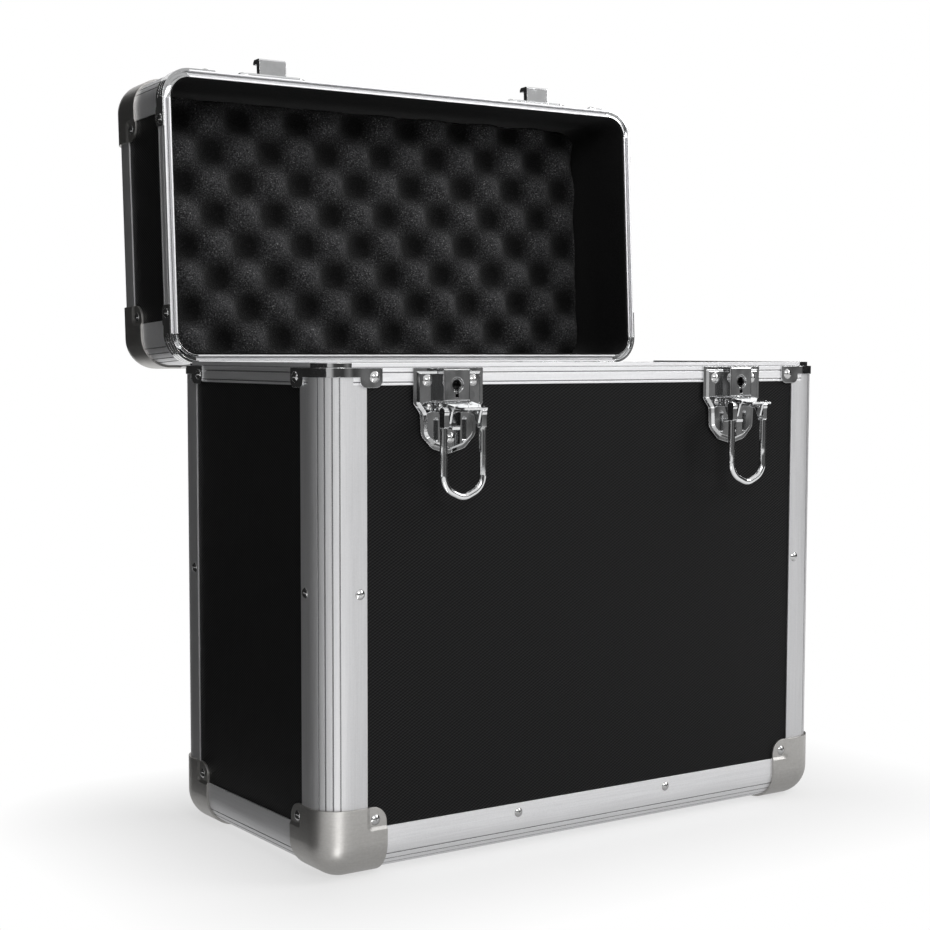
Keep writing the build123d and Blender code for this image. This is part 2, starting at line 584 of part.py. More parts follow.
def pivot_pin():
    """Pin through the base plate's ears and the lever's cheeks, with a head at each end."""
    place = Pos(*latch_point(0, PIVOT_OUT, -PIVOT_DROP)) * Rot(0, 90, 0)
    reach, head = LEVER_HALF + 0.1, 0.3
    pin = Cylinder(PIN_R, 2 * reach)
    for side in (-1, 1):
        pin += Pos(0, 0, side * (reach + head / 2)) * Cylinder(1.7, head)
    return place * pin


def latches():
    for name, x in (("left", -LATCH_X), ("right", LATCH_X)):
        shift = Pos(x, 0, 0)
        stem = "latch_" + name + "_"
        add(stem + "base_plate", shift * latch_base())
        add(stem + "lock_case", shift * lock_case())
        cam = lock_cam()
        add(stem + "lock_cam", shift * (cam if x > 0 else mirror(cam, about=Plane.YZ)))
        add(stem + "lever", shift * lever(LEVER_DROOP))
        add(stem + "bail", shift * bail())
        add(stem + "pivot", shift * pivot_pin())
        raised = PLATE_T + PLATE_RAISE
        big = [(latch_point(x + s * 15.1, raised, -7.0), FRONT) for s in (-1, 1)]
        rivets("body_rivets", 3.3, 1.9, big)
        small = [(latch_point(x + s * 13.8, raised, -21.5), FRONT) for s in (-1, 1)]
        rivets("body_rivets", 1.9, 1.1, small)
        rivets("body_rivets", 3.0, 1.7, [(latch_point(x, raised, -39.0), FRONT)])


def strike():
    """Catch on the lid's front wall: a pressed plate and a hook open towards the lid's top."""
    centre = Pos(0, LID_GAP + 1.0 + STRIKE_H / 2)
    plate = front_slab(centre * RectangleRounded(STRIKE_W, STRIKE_H, 8.0), 0.0, PLATE_T)
    wall = Plane(origin=(0, -HALF_D - PLATE_T, BODY_H), x_dir=(1, 0, 0), z_dir=FRONT)
    field = wall * (centre * RectangleRounded(STRIKE_W - 4.0, STRIKE_H - 4.0, 6.5))
    plate += extrude(field, PLATE_RAISE, taper=38)
    seat, lip = LID_GAP + CATCH_UP, HOOK_OUT - HOOK_LIP
    hook = Polyline((PLATE_T, seat - HOOK_NECK), (HOOK_OUT - 1.0, seat - HOOK_NECK),
                    (HOOK_OUT, seat - HOOK_NECK + 1.0), (HOOK_OUT, seat + HOOK_UP - 1.4),
                    (HOOK_OUT - 1.4, seat + HOOK_UP), (lip, seat + HOOK_UP), (lip, seat), (PLATE_T, seat),
                    close=True)
    return plate + across(HOOK_HALF, -HOOK_HALF, make_face(hook))


def strikes():
    for name, x in (("left", -LATCH_X), ("right", LATCH_X)):
        add("strike_" + name, Pos(x, 0, 0) * strike())
        raised = PLATE_T + PLATE_RAISE
        places = [(latch_point(x + s * 18.0, raised, LID_GAP + 12.5), FRONT) for s in (-1, 1)]
        rivets("lid_rivets", 3.2, 1.8, places)


# ---------------------------------------------------------------- hinges
def hinge_leaf(knuckles, up):
    """Leaf on the back wall, drawn about the hinge axis: Y back, Z up, X along the pin."""
    start = HINGE_DROP + LID_GAP if up else -KNUCKLE_R
    end = start + LEAF_H if up else start - LEAF_H
    low, high = min(start, end), max(start, end)
    plate = Rectangle(HINGE_W, high - low)
    far = [v for v in plate.vertices() if (v.Y > 0) == up]
    plate = fillet(far, 6.0)
    base = Plane(origin=(0, -HINGE_OUT, (low + high) / 2), x_dir=(-1, 0, 0), z_dir=BACK)
    leaf = extrude(base * plate, LEAF_T)
    for x0, x1 in knuckles:
        middle, length = (x0 + x1) / 2, x1 - x0
        leaf += Pos(middle, 0, 0) * Rot(0, 90, 0) * Cylinder(KNUCKLE_R, length)
        curl = (KNUCKLE_R - LEAF_T, KNUCKLE_R) if up else (-KNUCKLE_R, -KNUCKLE_R + LEAF_T)
        root = -HINGE_OUT + (0.5 if up else 0.0)
        leaf += block((x0, x1), (root, 0), curl)
        bend = (KNUCKLE_R - LEAF_T, KNUCKLE_R + 1.0) if up else (-KNUCKLE_R - 1.0, -KNUCKLE_R + LEAF_T)
        leaf += block((x0, x1), (root, -HINGE_OUT + LEAF_T), bend)
    bore = HINGE_PIN_R + FIT if up else HINGE_PIN_R
    return leaf - Rot(0, 90, 0) * Cylinder(bore, HINGE_W + 10)


def hinges():
    third = HINGE_W / 6
    middle = [(-third + 0.2, third - 0.2)]
    sides = [(-3 * third, -third - 0.2), (third + 0.2, 3 * third)]
    pin = Rot(0, 90, 0) * Cylinder(HINGE_PIN_R, HINGE_W)
    for name, x in (("left", -HINGE_X), ("right", HINGE_X)):
        place = Pos(x, HALF_D + HINGE_OUT, BODY_H - HINGE_DROP)
        add("hinge_" + name + "_body_leaf", place * hinge_leaf(sides, False))
        add("hinge_" + name + "_lid_leaf", place * hinge_leaf(middle, True))
        add("hinge_pins", place * pin)
        for s in (-1, 1):
            y = HALF_D + LEAF_T
            low = [((x + s * 20.0, y, BODY_H - d), BACK) for d in (16.0, 38.0)]
            high = [((x + s * 20.0, y, LID_RIM + d), BACK) for d in (14.0, 36.0)]
            rivets("body_rivets", 2.5, 1.2, low)
            rivets("lid_rivets", 2.5, 1.2, high)


# ---------------------------------------------------------------- handle
def handle_places():
    return TOP + HANDLE_UP, GRIP_L / 2 + 5.0


def handle():
    """Drop handle on the lid's top: two cast brackets and a moulded grip on steel stubs."""
    axis_z, bracket_x = handle_places()
    board = TOP - SKIN - 0.05
    for side in (-1, 1):
        x = side * (bracket_x + 3.5)
        foot = Pos(x + side * 5.0, 0, board) * extrude(RectangleRounded(26.0, 30.0, 5.0), 2.2)
        lug = Pos(0, board - axis_z) * Rectangle(11.0, axis_z - board, align=(Align.CENTER, Align.MIN))
        lug += Circle(5.5)
        lug -= Circle(3.0 + FIT)
        plane = Plane(origin=(x - 3.5, 0, axis_z), x_dir=(0, 1, 0), z_dir=(1, 0, 0))
        add("handle_brackets", foot + extrude(plane * lug, 7.0))
        place = (x + side * 12.5, 0, board + 2.2)
        rivets("lid_rivets", 2.8, 1.3, [(place, (0, 0, 1))])
    arm_x = bracket_x - 4.0
    grip = Pos(0, HANDLE_REACH - GRIP_W / 2, 0) * Box(2 * arm_x, GRIP_W, GRIP_T)
    grip = fillet(grip.edges().filter_by(Axis.X), GRIP_T / 2 - 0.6)
    for side in (-1, 1):
        x = side * (arm_x - 4.0)
        arm = Pos(x, HANDLE_REACH / 2 - 3.5, 0) * Box(8.0, HANDLE_REACH - 5.0, 10.0)
        grip += fillet(arm.edges().filter_by(Axis.Y), 2.0)
        grip += Pos(x, 0, 0) * Rot(0, 90, 0) * Cylinder(5.0, 8.0)
        grip += Pos(side * (arm_x + 4.0), 0, 0) * Rot(0, 90, 0) * Cylinder(3.0, 8.2)
    return Pos(0, 0, axis_z) * grip


# ---------------------------------------------------------------- assembly
def swing(angle, y, z):
    """Turn about an axis along X through this Y and Z."""
    return Pos(0, y, z) * Rot(angle, 0, 0) * Pos(0, -y, -z)


def build():
    panels()
    linings()
    body_posts()
    base_edges()
    lid_edges()
    body_rim()
    body_rim_corners()
    lid_posts()
    lid_rim_frame()
    lid_rim_corners()
    ball_corners()
    all_rivets()
    feet()
    latches()
    strikes()
    hinges()
    hang = Pos(0, 0, handle_places()[0]) * Rot(LID_OPEN - 90.0, 0, 0) * Pos(0, 0, -handle_places()[0])
    add("handle_grip", hang * handle())


def write():
    os.makedirs("parts", exist_ok=True)
    open_lid = swing(-LID_OPEN, HALF_D + HINGE_OUT, BODY_H - HINGE_DROP)
    for name, solids in nodes.items():
        on_lid = name.startswith(("lid_", "strike_", "handle_")) or name.endswith("lid_leaf")
        place = Pos(0, 0, FOOT_H) * (open_lid if on_lid else Pos(0, 0, 0))
        pieces = [place * s for s in solids]
        flat = [solid for p in pieces for solid in p.solids()]
        shape = flat[0] if len(flat) == 1 else Compound(children=flat)
        export_step(shape, os.path.join("parts", name + ".step"))


build()
write()
print(len(nodes), "pieces")
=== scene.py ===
# %% [markdown]
# # A 12-inch record case, dressed for the studio
# The case arrives as a finished CAD model: boards, aluminium profiles, chrome fittings, hinges and
# a lid that stands open. Its sizes are settled, so this lesson is about finishes, about the soft
# parts that CAD only blocks in, and about light. Every length is in metres.

import json
import math

import bmesh
import bpy
from mathutils import Matrix, Vector, noise


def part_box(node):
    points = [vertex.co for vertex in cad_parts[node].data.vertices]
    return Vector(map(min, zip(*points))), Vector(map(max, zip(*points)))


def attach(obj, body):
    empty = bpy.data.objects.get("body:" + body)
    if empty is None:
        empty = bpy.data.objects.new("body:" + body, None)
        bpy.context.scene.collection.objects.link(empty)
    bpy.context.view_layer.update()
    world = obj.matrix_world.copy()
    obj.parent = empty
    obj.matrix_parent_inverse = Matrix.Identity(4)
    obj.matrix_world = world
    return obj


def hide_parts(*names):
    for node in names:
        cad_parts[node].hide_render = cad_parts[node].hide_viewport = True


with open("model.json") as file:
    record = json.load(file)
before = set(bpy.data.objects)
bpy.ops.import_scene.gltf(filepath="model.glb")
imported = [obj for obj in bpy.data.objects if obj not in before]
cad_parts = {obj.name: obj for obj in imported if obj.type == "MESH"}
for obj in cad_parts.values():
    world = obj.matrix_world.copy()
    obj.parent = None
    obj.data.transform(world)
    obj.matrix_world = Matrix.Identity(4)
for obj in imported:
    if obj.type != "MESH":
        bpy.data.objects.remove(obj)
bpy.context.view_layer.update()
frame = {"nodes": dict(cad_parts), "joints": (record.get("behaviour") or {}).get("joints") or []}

# %% [markdown]
# ## Where things are
# Blender never moves a CAD part, so places are read from it. The lid is open, which makes its
# inside awkward to model: it is simpler to draw the lid's soft parts with the lid shut, flat and
# square, and then to swing them open about the hinge, as the CAD model does.

# %% Hinge line and the case's main sizes
MM = 0.001
hinge = next(j for j in frame["joints"] if j["name"] == "lid_hinge")
HINGE_POINT = Vector(hinge["pos_m"])
OPEN_ANGLE = math.radians(max(hinge["range_deg"]))
TONGUE, LID_GAP, LID_HEIGHT = 2.6 * MM, 0.35 * MM, 81.0 * MM
HALF_W, HALF_D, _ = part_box("body_corner_post_back_right")[1]
FLOOR_OF_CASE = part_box("base_edge_front")[0].z      # underside of the base profiles
BODY_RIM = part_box("body_rim_corners")[1].z - TONGUE
LID_RIM = BODY_RIM + LID_GAP    # with the lid shut, like every place in the lid below
LID_TOP = LID_RIM + LID_HEIGHT
INNER = 4.7 * MM                # from the outer face to the inner face of every profile
SNUG = 0.05 * MM                # daylight between a soft part and what it lies on
NOSE_R = 18.0 * MM              # outer radius of the upright corners
print("half width", round(HALF_W, 4), "half depth", round(HALF_D, 4), "rim at", round(BODY_RIM, 4))


def swing_open(point):
    """A point given with the lid shut, taken to where the open lid has it."""
    return HINGE_POINT + Matrix.Rotation(-OPEN_ANGLE, 3, "X") @ (Vector(point) - HINGE_POINT)


# %% [markdown]
# ## Small helpers for node trees
# A material is a graph, and written out call by call it hides its own idea. `add_node` makes one
# node, sets its options and fills its sockets: a value is typed in, and another node's output is
# linked. `math_node` and `map_range` are short names for the commonest ones. `new_group` makes an
# empty group with named sockets, for effects that several finishes share.

# %% Node helpers
def add_node(tree, kind, sockets=None, **options):
    """A node with its options set and its sockets filled with values or linked from outputs."""
    made = tree.nodes.new("ShaderNode" + kind)
    for name, value in options.items():
        setattr(made, name, value)
    for name, value in (sockets or {}).items():
        if isinstance(value, bpy.types.NodeSocket):
            tree.links.new(value, made.inputs[name])
        else:
            made.inputs[name].default_value = value
    return made


def math_node(tree, operation, first, second=0.0, third=0.0):
    """The output of one Math node."""
    return add_node(tree, "Math", {0: first, 1: second, 2: third}, operation=operation).outputs[0]


def map_range(tree, value, low, high, to_low, to_high):
    """Value taken from one range to another, held inside it."""
    sockets = {"Value": value, "From Min": low, "From Max": high,
               "To Min": to_low, "To Max": to_high}
    return add_node(tree, "MapRange", sockets).outputs["Result"]


def new_group(name, inputs, outputs):
    """An empty shader node group, with its inside start and end nodes."""
    group = bpy.data.node_groups.new(name, "ShaderNodeTree")
    for label, (kind, value) in inputs.items():
        socket = group.interface.new_socket(
            name=label, in_out="INPUT", socket_type="NodeSocket" + kind)
        if value is not None:
            socket.default_value = value
    for label, kind in outputs.items():
        group.interface.new_socket(
            name=label, in_out="OUTPUT", socket_type="NodeSocket" + kind)
    return group, group.nodes.new("NodeGroupInput"), group.nodes.new("NodeGroupOutput")


def use_group(tree, group, sockets=None):
    """A group placed in a material, with its own values."""
    return add_node(tree, "Group", sockets, node_tree=group)


def tell(group):
    """Print what a group holds."""
    print("group:", group.name, "with", len(group.nodes), "nodes")


# %% [markdown]
# ## Grain
# Sandblasted aluminium, nickel, cloth and foam all have a fine random grain. One noise gives it.
# The group puts out a mask from 0 to 1 that is even in tone, so that a finish can send it to
# roughness, to colour or to the height of a bump.

# %% Group: fine grain
grain, start, end = new_group(
    "Fine grain",
    {"Vector": ("Vector", None), "Scale": ("Float", 2500.0), "Detail": ("Float", 3.0)},
    {"Mask": "Float"},
)
speckle = add_node(grain, "TexNoise", {
    "Vector": start.outputs["Vector"], "Scale": start.outputs["Scale"],
    "Detail": start.outputs["Detail"], "Roughness": 0.6})
grain.links.new(map_range(grain, speckle.outputs["Fac"], 0.25, 0.75, 0.0, 1.0), end.inputs["Mask"])
tell(grain)

# %% [markdown]
# ## Streaks
# An extruded profile keeps fine lines from the die, all along its length, and a pressed corner
# keeps the lines of the polishing belt. Squeezing the coordinates along one direction before a
# noise draws such lines. The squeeze is an input, because the profiles run three ways.

# %% Group: drawn streaks
streaks, start, end = new_group(
    "Drawn streaks",
    {"Vector": ("Vector", None), "Squeeze": ("Vector", (1.0, 1.0, 0.02)),
     "Scale": ("Float", 900.0)},
    {"Mask": "Float"},
)
squeezed = add_node(streaks, "VectorMath", {
    0: start.outputs["Vector"], 1: start.outputs["Squeeze"]}, operation="MULTIPLY")
lines = add_node(streaks, "TexNoise", {
    "Vector": squeezed.outputs[0], "Scale": start.outputs["Scale"], "Detail": 2.0})
streaks.links.new(map_range(streaks, lines.outputs["Fac"], 0.3, 0.7, 0.0, 1.0), end.inputs["Mask"])
tell(streaks)

# %% [markdown]
# ## Handling marks
# Hands leave soft smudges on chrome, boards and grips. They change the gloss far more than the
# colour. A large noise gives the patches, and a smaller one breaks up their borders.

# %% Group: handling marks
marks, start, end = new_group(
    "Handling marks",
    {"Vector": ("Vector", None), "Scale": ("Float", 18.0), "Cover": ("Float", 0.5)},
    {"Mask": "Float"},
)
patches = add_node(marks, "TexNoise", {
    "Vector": start.outputs["Vector"], "Scale": start.outputs["Scale"],
    "Detail": 5.0, "Roughness": 0.7})
edge_of_patch = math_node(marks, "SUBTRACT", 1.0, start.outputs["Cover"])
above = math_node(marks, "SUBTRACT", patches.outputs["Fac"], edge_of_patch)
marks.links.new(map_range(marks, above, -0.05, 0.25, 0.0, 1.0), end.inputs["Mask"])
tell(marks)

# %% [markdown]
# ## Edge wear
# Edges of metal are rounded a little, and handling keeps them smooth. The Bevel node gives the
# normal that a rounded edge would have. Where it departs from the real normal there is an edge,
# and a noise makes the wear uneven. The mask polishes the profiles' edges, and the normal softens
# the edges of every metal.

# %% Group: edge wear
edge_wear, start, end = new_group(
    "Edge wear",
    {"Vector": ("Vector", None), "Width": ("Float", 0.0006), "Patchiness": ("Float", 120.0)},
    {"Mask": "Float", "Normal": "Vector"},
)
rounded = add_node(edge_wear, "Bevel", {"Radius": start.outputs["Width"]}, samples=4)
true_normal = add_node(edge_wear, "NewGeometry")
same = add_node(edge_wear, "VectorMath", {
    0: rounded.outputs["Normal"], 1: true_normal.outputs["Normal"]}, operation="DOT_PRODUCT")
turned = map_range(edge_wear, same.outputs["Value"], 1.0, 0.85, 0.0, 1.0)
patch = add_node(edge_wear, "TexNoise", {
    "Vector": start.outputs["Vector"], "Scale": start.outputs["Patchiness"], "Detail": 3.0})
uneven = map_range(edge_wear, patch.outputs["Fac"], 0.35, 0.6, 0.2, 1.0)
edge_wear.links.new(math_node(edge_wear, "MULTIPLY", turned, uneven), end.inputs["Mask"])
edge_wear.links.new(rounded.outputs["Normal"], end.inputs["Normal"])
tell(edge_wear)

# %% [markdown]
# ## Painted shade in grooves
# Painted shade: the colour is taken darker in the grooves of the profiles and along the seams
# of the corners. The Ambient Occlusion node, kept to the piece itself and to a short distance,
# finds such places.

# %% Group: painted groove shade
painted_groove_shade, start, end = new_group(
    "Painted groove shade", {"Reach": ("Float", 0.001), "Amount": ("Float", 1.0)}, {"Mask": "Float"})
hollow = add_node(painted_groove_shade, "AmbientOcclusion", {"Distance": start.outputs["Reach"]},
                  only_local=True, samples=6)
# the mask is the painted shade: 1 where the piece is hollow close by
depth = map_range(painted_groove_shade, hollow.outputs["AO"], 0.95, 0.6, 0.0, 1.0)
painted_groove_shade.links.new(math_node(painted_groove_shade, "MULTIPLY", depth, start.outputs["Amount"]),
                      end.inputs["Mask"])
tell(painted_groove_shade)

# %% [markdown]
# ## Flat face coordinates
# An embossed pattern lies in the plane of its board. The boards face six ways and carry no UV map,
# so this group looks at the face's own direction and passes on the two coordinates that lie in the
# face. Object coordinates stay with a piece when it moves, and so does the pattern.

# %% Group: flat face coordinates
flat_face, start, end = new_group("Flat face coordinates", {}, {"Across": "Float", "Up": "Float"})
place = add_node(flat_face, "TexCoord")
xyz = add_node(flat_face, "SeparateXYZ", {0: place.outputs["Object"]})
facing = add_node(flat_face, "SeparateXYZ", {0: place.outputs["Normal"]})


def mostly(tree, component):
    """1 where this component of the normal is the large one."""
    return math_node(tree, "GREATER_THAN", math_node(tree, "ABSOLUTE", component), 0.7)


side_face = mostly(flat_face, facing.outputs["X"])
level_face = mostly(flat_face, facing.outputs["Z"])
across = add_node(flat_face, "Mix", {
    "Factor": side_face, "A": xyz.outputs["X"], "B": xyz.outputs["Y"]}).outputs["Result"]
upward = add_node(flat_face, "Mix", {
    "Factor": level_face, "A": xyz.outputs["Z"], "B": xyz.outputs["Y"]}).outputs["Result"]
flat_face.links.new(across, end.inputs["Across"])
flat_face.links.new(upward, end.inputs["Up"])
tell(flat_face)

# %% [markdown]
# ## Starting a finish
# Every finish begins the same way: a material, its Principled shader and the object coordinates
# that its patterns are laid out in. Numbers that are the same all over the surface are typed into
# the shader itself.

# %% Start a finish
def start_finish(name, **shader_values):
    """A material with a Principled shader; returns it, its tree, the shader and coordinates."""
    material = bpy.data.materials.new(name)
    material.use_nodes = True
    tree = material.node_tree
    shader = tree.nodes["Principled BSDF"]
    for socket, value in shader_values.items():
        shader.inputs[socket.replace("_", " ")].default_value = value
    coordinates = add_node(tree, "TexCoord").outputs["Object"]
    return material, tree, shader, coordinates


def two_tone(tree, mask, dark, light):
    """A colour between two others, by a mask."""
    mixed = add_node(tree, "Mix", {"Factor": mask}, data_type="RGBA")
    for socket, colour in zip([s for s in mixed.inputs if s.type == "RGBA"], (dark, light)):
        socket.default_value = (*colour, 1.0)
    return next(s for s in mixed.outputs if s.type == "RGBA")


def tinted(tree, mask, colour, other):
    """A colour socket that goes over to another colour by a mask."""
    mixed = add_node(tree, "Mix", {"Factor": mask}, data_type="RGBA")
    first, second = [s for s in mixed.inputs if s.type == "RGBA"]
    tree.links.new(colour, first)
    second.default_value = (*other, 1.0)
    return next(s for s in mixed.outputs if s.type == "RGBA")


def bump(tree, shader, height, distance, strength=1.0, normal=None):
    """Fine relief on the shader's normal."""
    sockets = {"Height": height, "Distance": distance, "Strength": strength}
    if normal is not None:
        sockets["Normal"] = normal
    made = add_node(tree, "Bump", sockets)
    tree.links.new(made.outputs["Normal"], shader.inputs["Normal"])


# %% [markdown]
# ## Black embossed board
# The boards are thin ply faced with black plastic. The facing is embossed with tiny diamonds,
# 3 mm wide and 1.8 mm high: two families of slanting ridges that cross, one stronger than the
# other. Two cosines make them. The relief is slight, so that the board stays black and only
# glimmers where light rakes over it. The same cosines paint the colour: lighter on the ridges and
# darker between them, which is painted light and painted shade.

# %% Finish: black embossed board
DIAMOND_WIDE, DIAMOND_HIGH = 3.0 * MM, 1.8 * MM


def ridges(tree, along, up, lean):
    """Slanting ridges from 0 to 1; lean is 1 or -1 for the way they slope."""
    over = math_node(tree, "DIVIDE", along, DIAMOND_WIDE)
    rise = math_node(tree, "DIVIDE", up, lean * DIAMOND_HIGH)
    turns = math_node(tree, "MULTIPLY", math_node(tree, "ADD", over, rise), math.tau)
    return map_range(tree, math_node(tree, "COSINE", turns), -1.0, 1.0, 0.0, 1.0)


def black_board():
    """Embossed plastic, with painted shade between its ridges and smudges in its gloss."""
    material, tree, shader, place = start_finish("black_board", Specular_IOR_Level=0.10)
    face = use_group(tree, flat_face)
    strong = ridges(tree, face.outputs["Across"], face.outputs["Up"], -1)
    weak = ridges(tree, face.outputs["Across"], face.outputs["Up"], 1)
    diamonds = math_node(tree, "MULTIPLY_ADD", weak, 0.4, strong)
    # painted light and painted shade: the colour is lighter on the ridges and darker between them
    tone = map_range(tree, diamonds, 0.25, 1.25, 0.0, 1.0)
    tree.links.new(two_tone(tree, tone, (0.0028, 0.0028, 0.0029), (0.0200, 0.0200, 0.0205)),
                   shader.inputs["Base Color"])
    smudge = use_group(tree, marks, {"Vector": place, "Scale": 9.0, "Cover": 0.5})
    rough = map_range(tree, smudge.outputs["Mask"], 0.0, 1.0, 0.40, 0.50)
    tree.links.new(rough, shader.inputs["Roughness"])
    bump(tree, shader, diamonds, 0.09 * MM)
    return material


# %% [markdown]
# ## Satin aluminium
# The profiles are extruded, sandblasted and anodised: a soft, even grey with a fine sparkle, and
# faint lines along their length. The upright posts and the level edges need different squeezes
# and different painted light in their grey, so the finish is made once for each direction.

# %% Finish: satin aluminium
LINES_ALONG = {"x": (0.02, 1.0, 1.0), "y": (1.0, 0.02, 1.0), "z": (1.0, 1.0, 0.02)}
# painted light: level edges along x get a paler grey and the upright posts a darker one
PAINTED_LIGHT_BY_WAY = {"x": 1.22, "y": 1.02, "z": 0.91}     # evens out how the profiles meet the light


def satin_aluminium(direction):
    """Sandblasted metal: lines and painted light set by x, y or z, and edges polished by wear."""
    squeeze, painted_light = LINES_ALONG[direction], PAINTED_LIGHT_BY_WAY[direction]
    material, tree, shader, place = start_finish("satin_aluminium_" + direction, Metallic=1.0)
    fine = use_group(tree, grain, {"Vector": place, "Scale": 1600.0, "Detail": 2.0})
    drawn = use_group(tree, streaks, {"Vector": place, "Squeeze": squeeze, "Scale": 1100.0})
    worn = use_group(tree, edge_wear, {"Vector": place, "Width": 0.35 * MM})
    texture = math_node(tree, "MULTIPLY_ADD", drawn.outputs["Mask"], 0.45,
                        math_node(tree, "MULTIPLY", fine.outputs["Mask"], 0.55))
    # painted shade: grooves and seams take a dark grey colour
    groove_shade = use_group(tree, painted_groove_shade, {"Reach": 1.0 * MM, "Amount": 0.85})
    # painted light: both greys are scaled by the way the profile runs
    base = two_tone(tree, texture, (0.67 * painted_light, 0.67 * painted_light, 0.68 * painted_light),
                    (0.79 * painted_light, 0.79 * painted_light, 0.80 * painted_light))
    tree.links.new(tinted(tree, groove_shade.outputs["Mask"], base, (0.10, 0.10, 0.105)),
                   shader.inputs["Base Color"])
    satin = map_range(tree, texture, 0.0, 1.0, 0.50, 0.60)
    polish = math_node(tree, "MULTIPLY", worn.outputs["Mask"], -0.12)
    tree.links.new(math_node(tree, "ADD", satin, polish), shader.inputs["Roughness"])
    bump(tree, shader, texture, 0.012 * MM, 0.6, worn.outputs["Normal"])
    return material


# %% [markdown]
# ## Satin nickel
# The ball corners are pressed from steel and nickel plated over a belt-polished surface. They are
# a little darker and glossier than the profiles, with short lines.

# %% Finish: satin nickel
def satin_nickel():
    """Plated steel, mottled under short level lines."""
    material, tree, shader, place = start_finish("satin_nickel", Metallic=1.0)
    drawn = use_group(tree, streaks, {
        "Vector": place, "Squeeze": (0.08, 0.08, 1.0), "Scale": 1500.0})
    smudge = use_group(tree, marks, {"Vector": place, "Scale": 40.0, "Cover": 0.5})
    worn = use_group(tree, edge_wear, {"Vector": place, "Width": 0.5 * MM})
    mottle = use_group(tree, grain, {"Vector": place, "Scale": 700.0, "Detail": 3.0})
    tone = math_node(tree, "MULTIPLY_ADD", drawn.outputs["Mask"], 0.35,
                     math_node(tree, "MULTIPLY", mottle.outputs["Mask"], 0.65))
    # painted shade: seams and hollows take a dark colour
    groove_shade = use_group(tree, painted_groove_shade, {"Reach": 1.5 * MM, "Amount": 0.6})
    base = two_tone(tree, tone, (0.44, 0.43, 0.415), (0.54, 0.53, 0.515))
    tree.links.new(tinted(tree, groove_shade.outputs["Mask"], base, (0.12, 0.115, 0.11)),
                   shader.inputs["Base Color"])
    brushed = map_range(tree, tone, 0.0, 1.0, 0.36, 0.42)
    gloss = math_node(tree, "MULTIPLY_ADD", smudge.outputs["Mask"], 0.08, brushed)
    tree.links.new(gloss, shader.inputs["Roughness"])
    bump(tree, shader, tone, 0.006 * MM, 0.5, worn.outputs["Normal"])
    return material


# %% [markdown]
# ## Bright platings
# Chrome on the latches and rim corners is nearly a mirror: what it shows is the room, so its own
# nodes only add faint smudges, soft edges, a little painted shade in the seams and a slight
# waviness from the press. Rivets, hinges and the core of the lock, dark as painted shade, use the
# same recipe with duller numbers.

# %% Finish: bright plating
def bright_plating(name, dark, light, gloss, wave, edge):
    """Plated metal; gloss is its roughness when clean and when smudged, edge its rounding."""
    material, tree, shader, place = start_finish(name, Metallic=1.0)
    smudge = use_group(tree, marks, {"Vector": place, "Scale": 70.0, "Cover": 0.5})
    worn = use_group(tree, edge_wear, {"Vector": place, "Width": edge})
    pressed = use_group(tree, grain, {"Vector": place, "Scale": 90.0, "Detail": 0.0})
    base = two_tone(tree, smudge.outputs["Mask"], light, dark)
    # painted shade in the seams: hollow places take a near black colour
    groove_shade = use_group(tree, painted_groove_shade, {"Reach": 1.0 * MM, "Amount": 0.35})
    tree.links.new(tinted(tree, groove_shade.outputs["Mask"], base, (0.05, 0.05, 0.05)),
                   shader.inputs["Base Color"])
    rough = map_range(tree, smudge.outputs["Mask"], 0.0, 1.0, gloss[0], gloss[1])
    tree.links.new(rough, shader.inputs["Roughness"])
    bump(tree, shader, pressed.outputs["Mask"], wave, normal=worn.outputs["Normal"])
    return material


# %% [markdown]
# ## Soft finishes
# Lining, lid foam and floor pad are all near black, but they differ in how they break up light.
# The lining is brushed nylon: deep black with a slight sheen. The foam is open celled: the light
# its cell walls catch is painted into the colour as tiny bright specks, painted highlights. Both
# need noise at the scale of the real fibre or cell.

# %% Finish: brushed lining and foam
def soft_black(name, dark, light, cell, relief, sheen, painted_glint_tone=0.012):
    """Cloth or foam; cell is its fibre or cell size, painted_glint_tone the tone of painted
    highlights.
    """
    material, tree, shader, place = start_finish(
        name, Roughness=1.0, Specular_IOR_Level=0.1, Sheen_Weight=sheen, Sheen_Roughness=0.5)
    cells = use_group(tree, grain, {"Vector": place, "Scale": 1.0 / cell, "Detail": 4.0})
    drift = use_group(tree, marks, {"Vector": place, "Scale": 14.0, "Cover": 0.5})
    specks = math_node(tree, "POWER", cells.outputs["Mask"], 2.2)
    tone = math_node(tree, "MULTIPLY_ADD", drift.outputs["Mask"], 0.15, specks)
    # painted highlights: tiny bright specks where cell walls would catch the light
    tiny = use_group(tree, grain, {"Vector": place, "Scale": 1.3 / cell, "Detail": 0.0})
    painted_glint = map_range(tree, tiny.outputs["Mask"], 0.90, 1.0, 0.0, 1.0)
    tone_with_painted_glints = tinted(tree, painted_glint, two_tone(tree, tone, dark, light), (painted_glint_tone, painted_glint_tone, painted_glint_tone))
    tree.links.new(tone_with_painted_glints, shader.inputs["Base Color"])
    bump(tree, shader, cells.outputs["Mask"], relief)
    return material


# %% [markdown]
# ## Moulded parts
# The grip is moulded with a leather grain and the feet are dull rubber. Voronoi cells with soft
# borders make a convincing pebble, and a lower relief gives plain rubber.

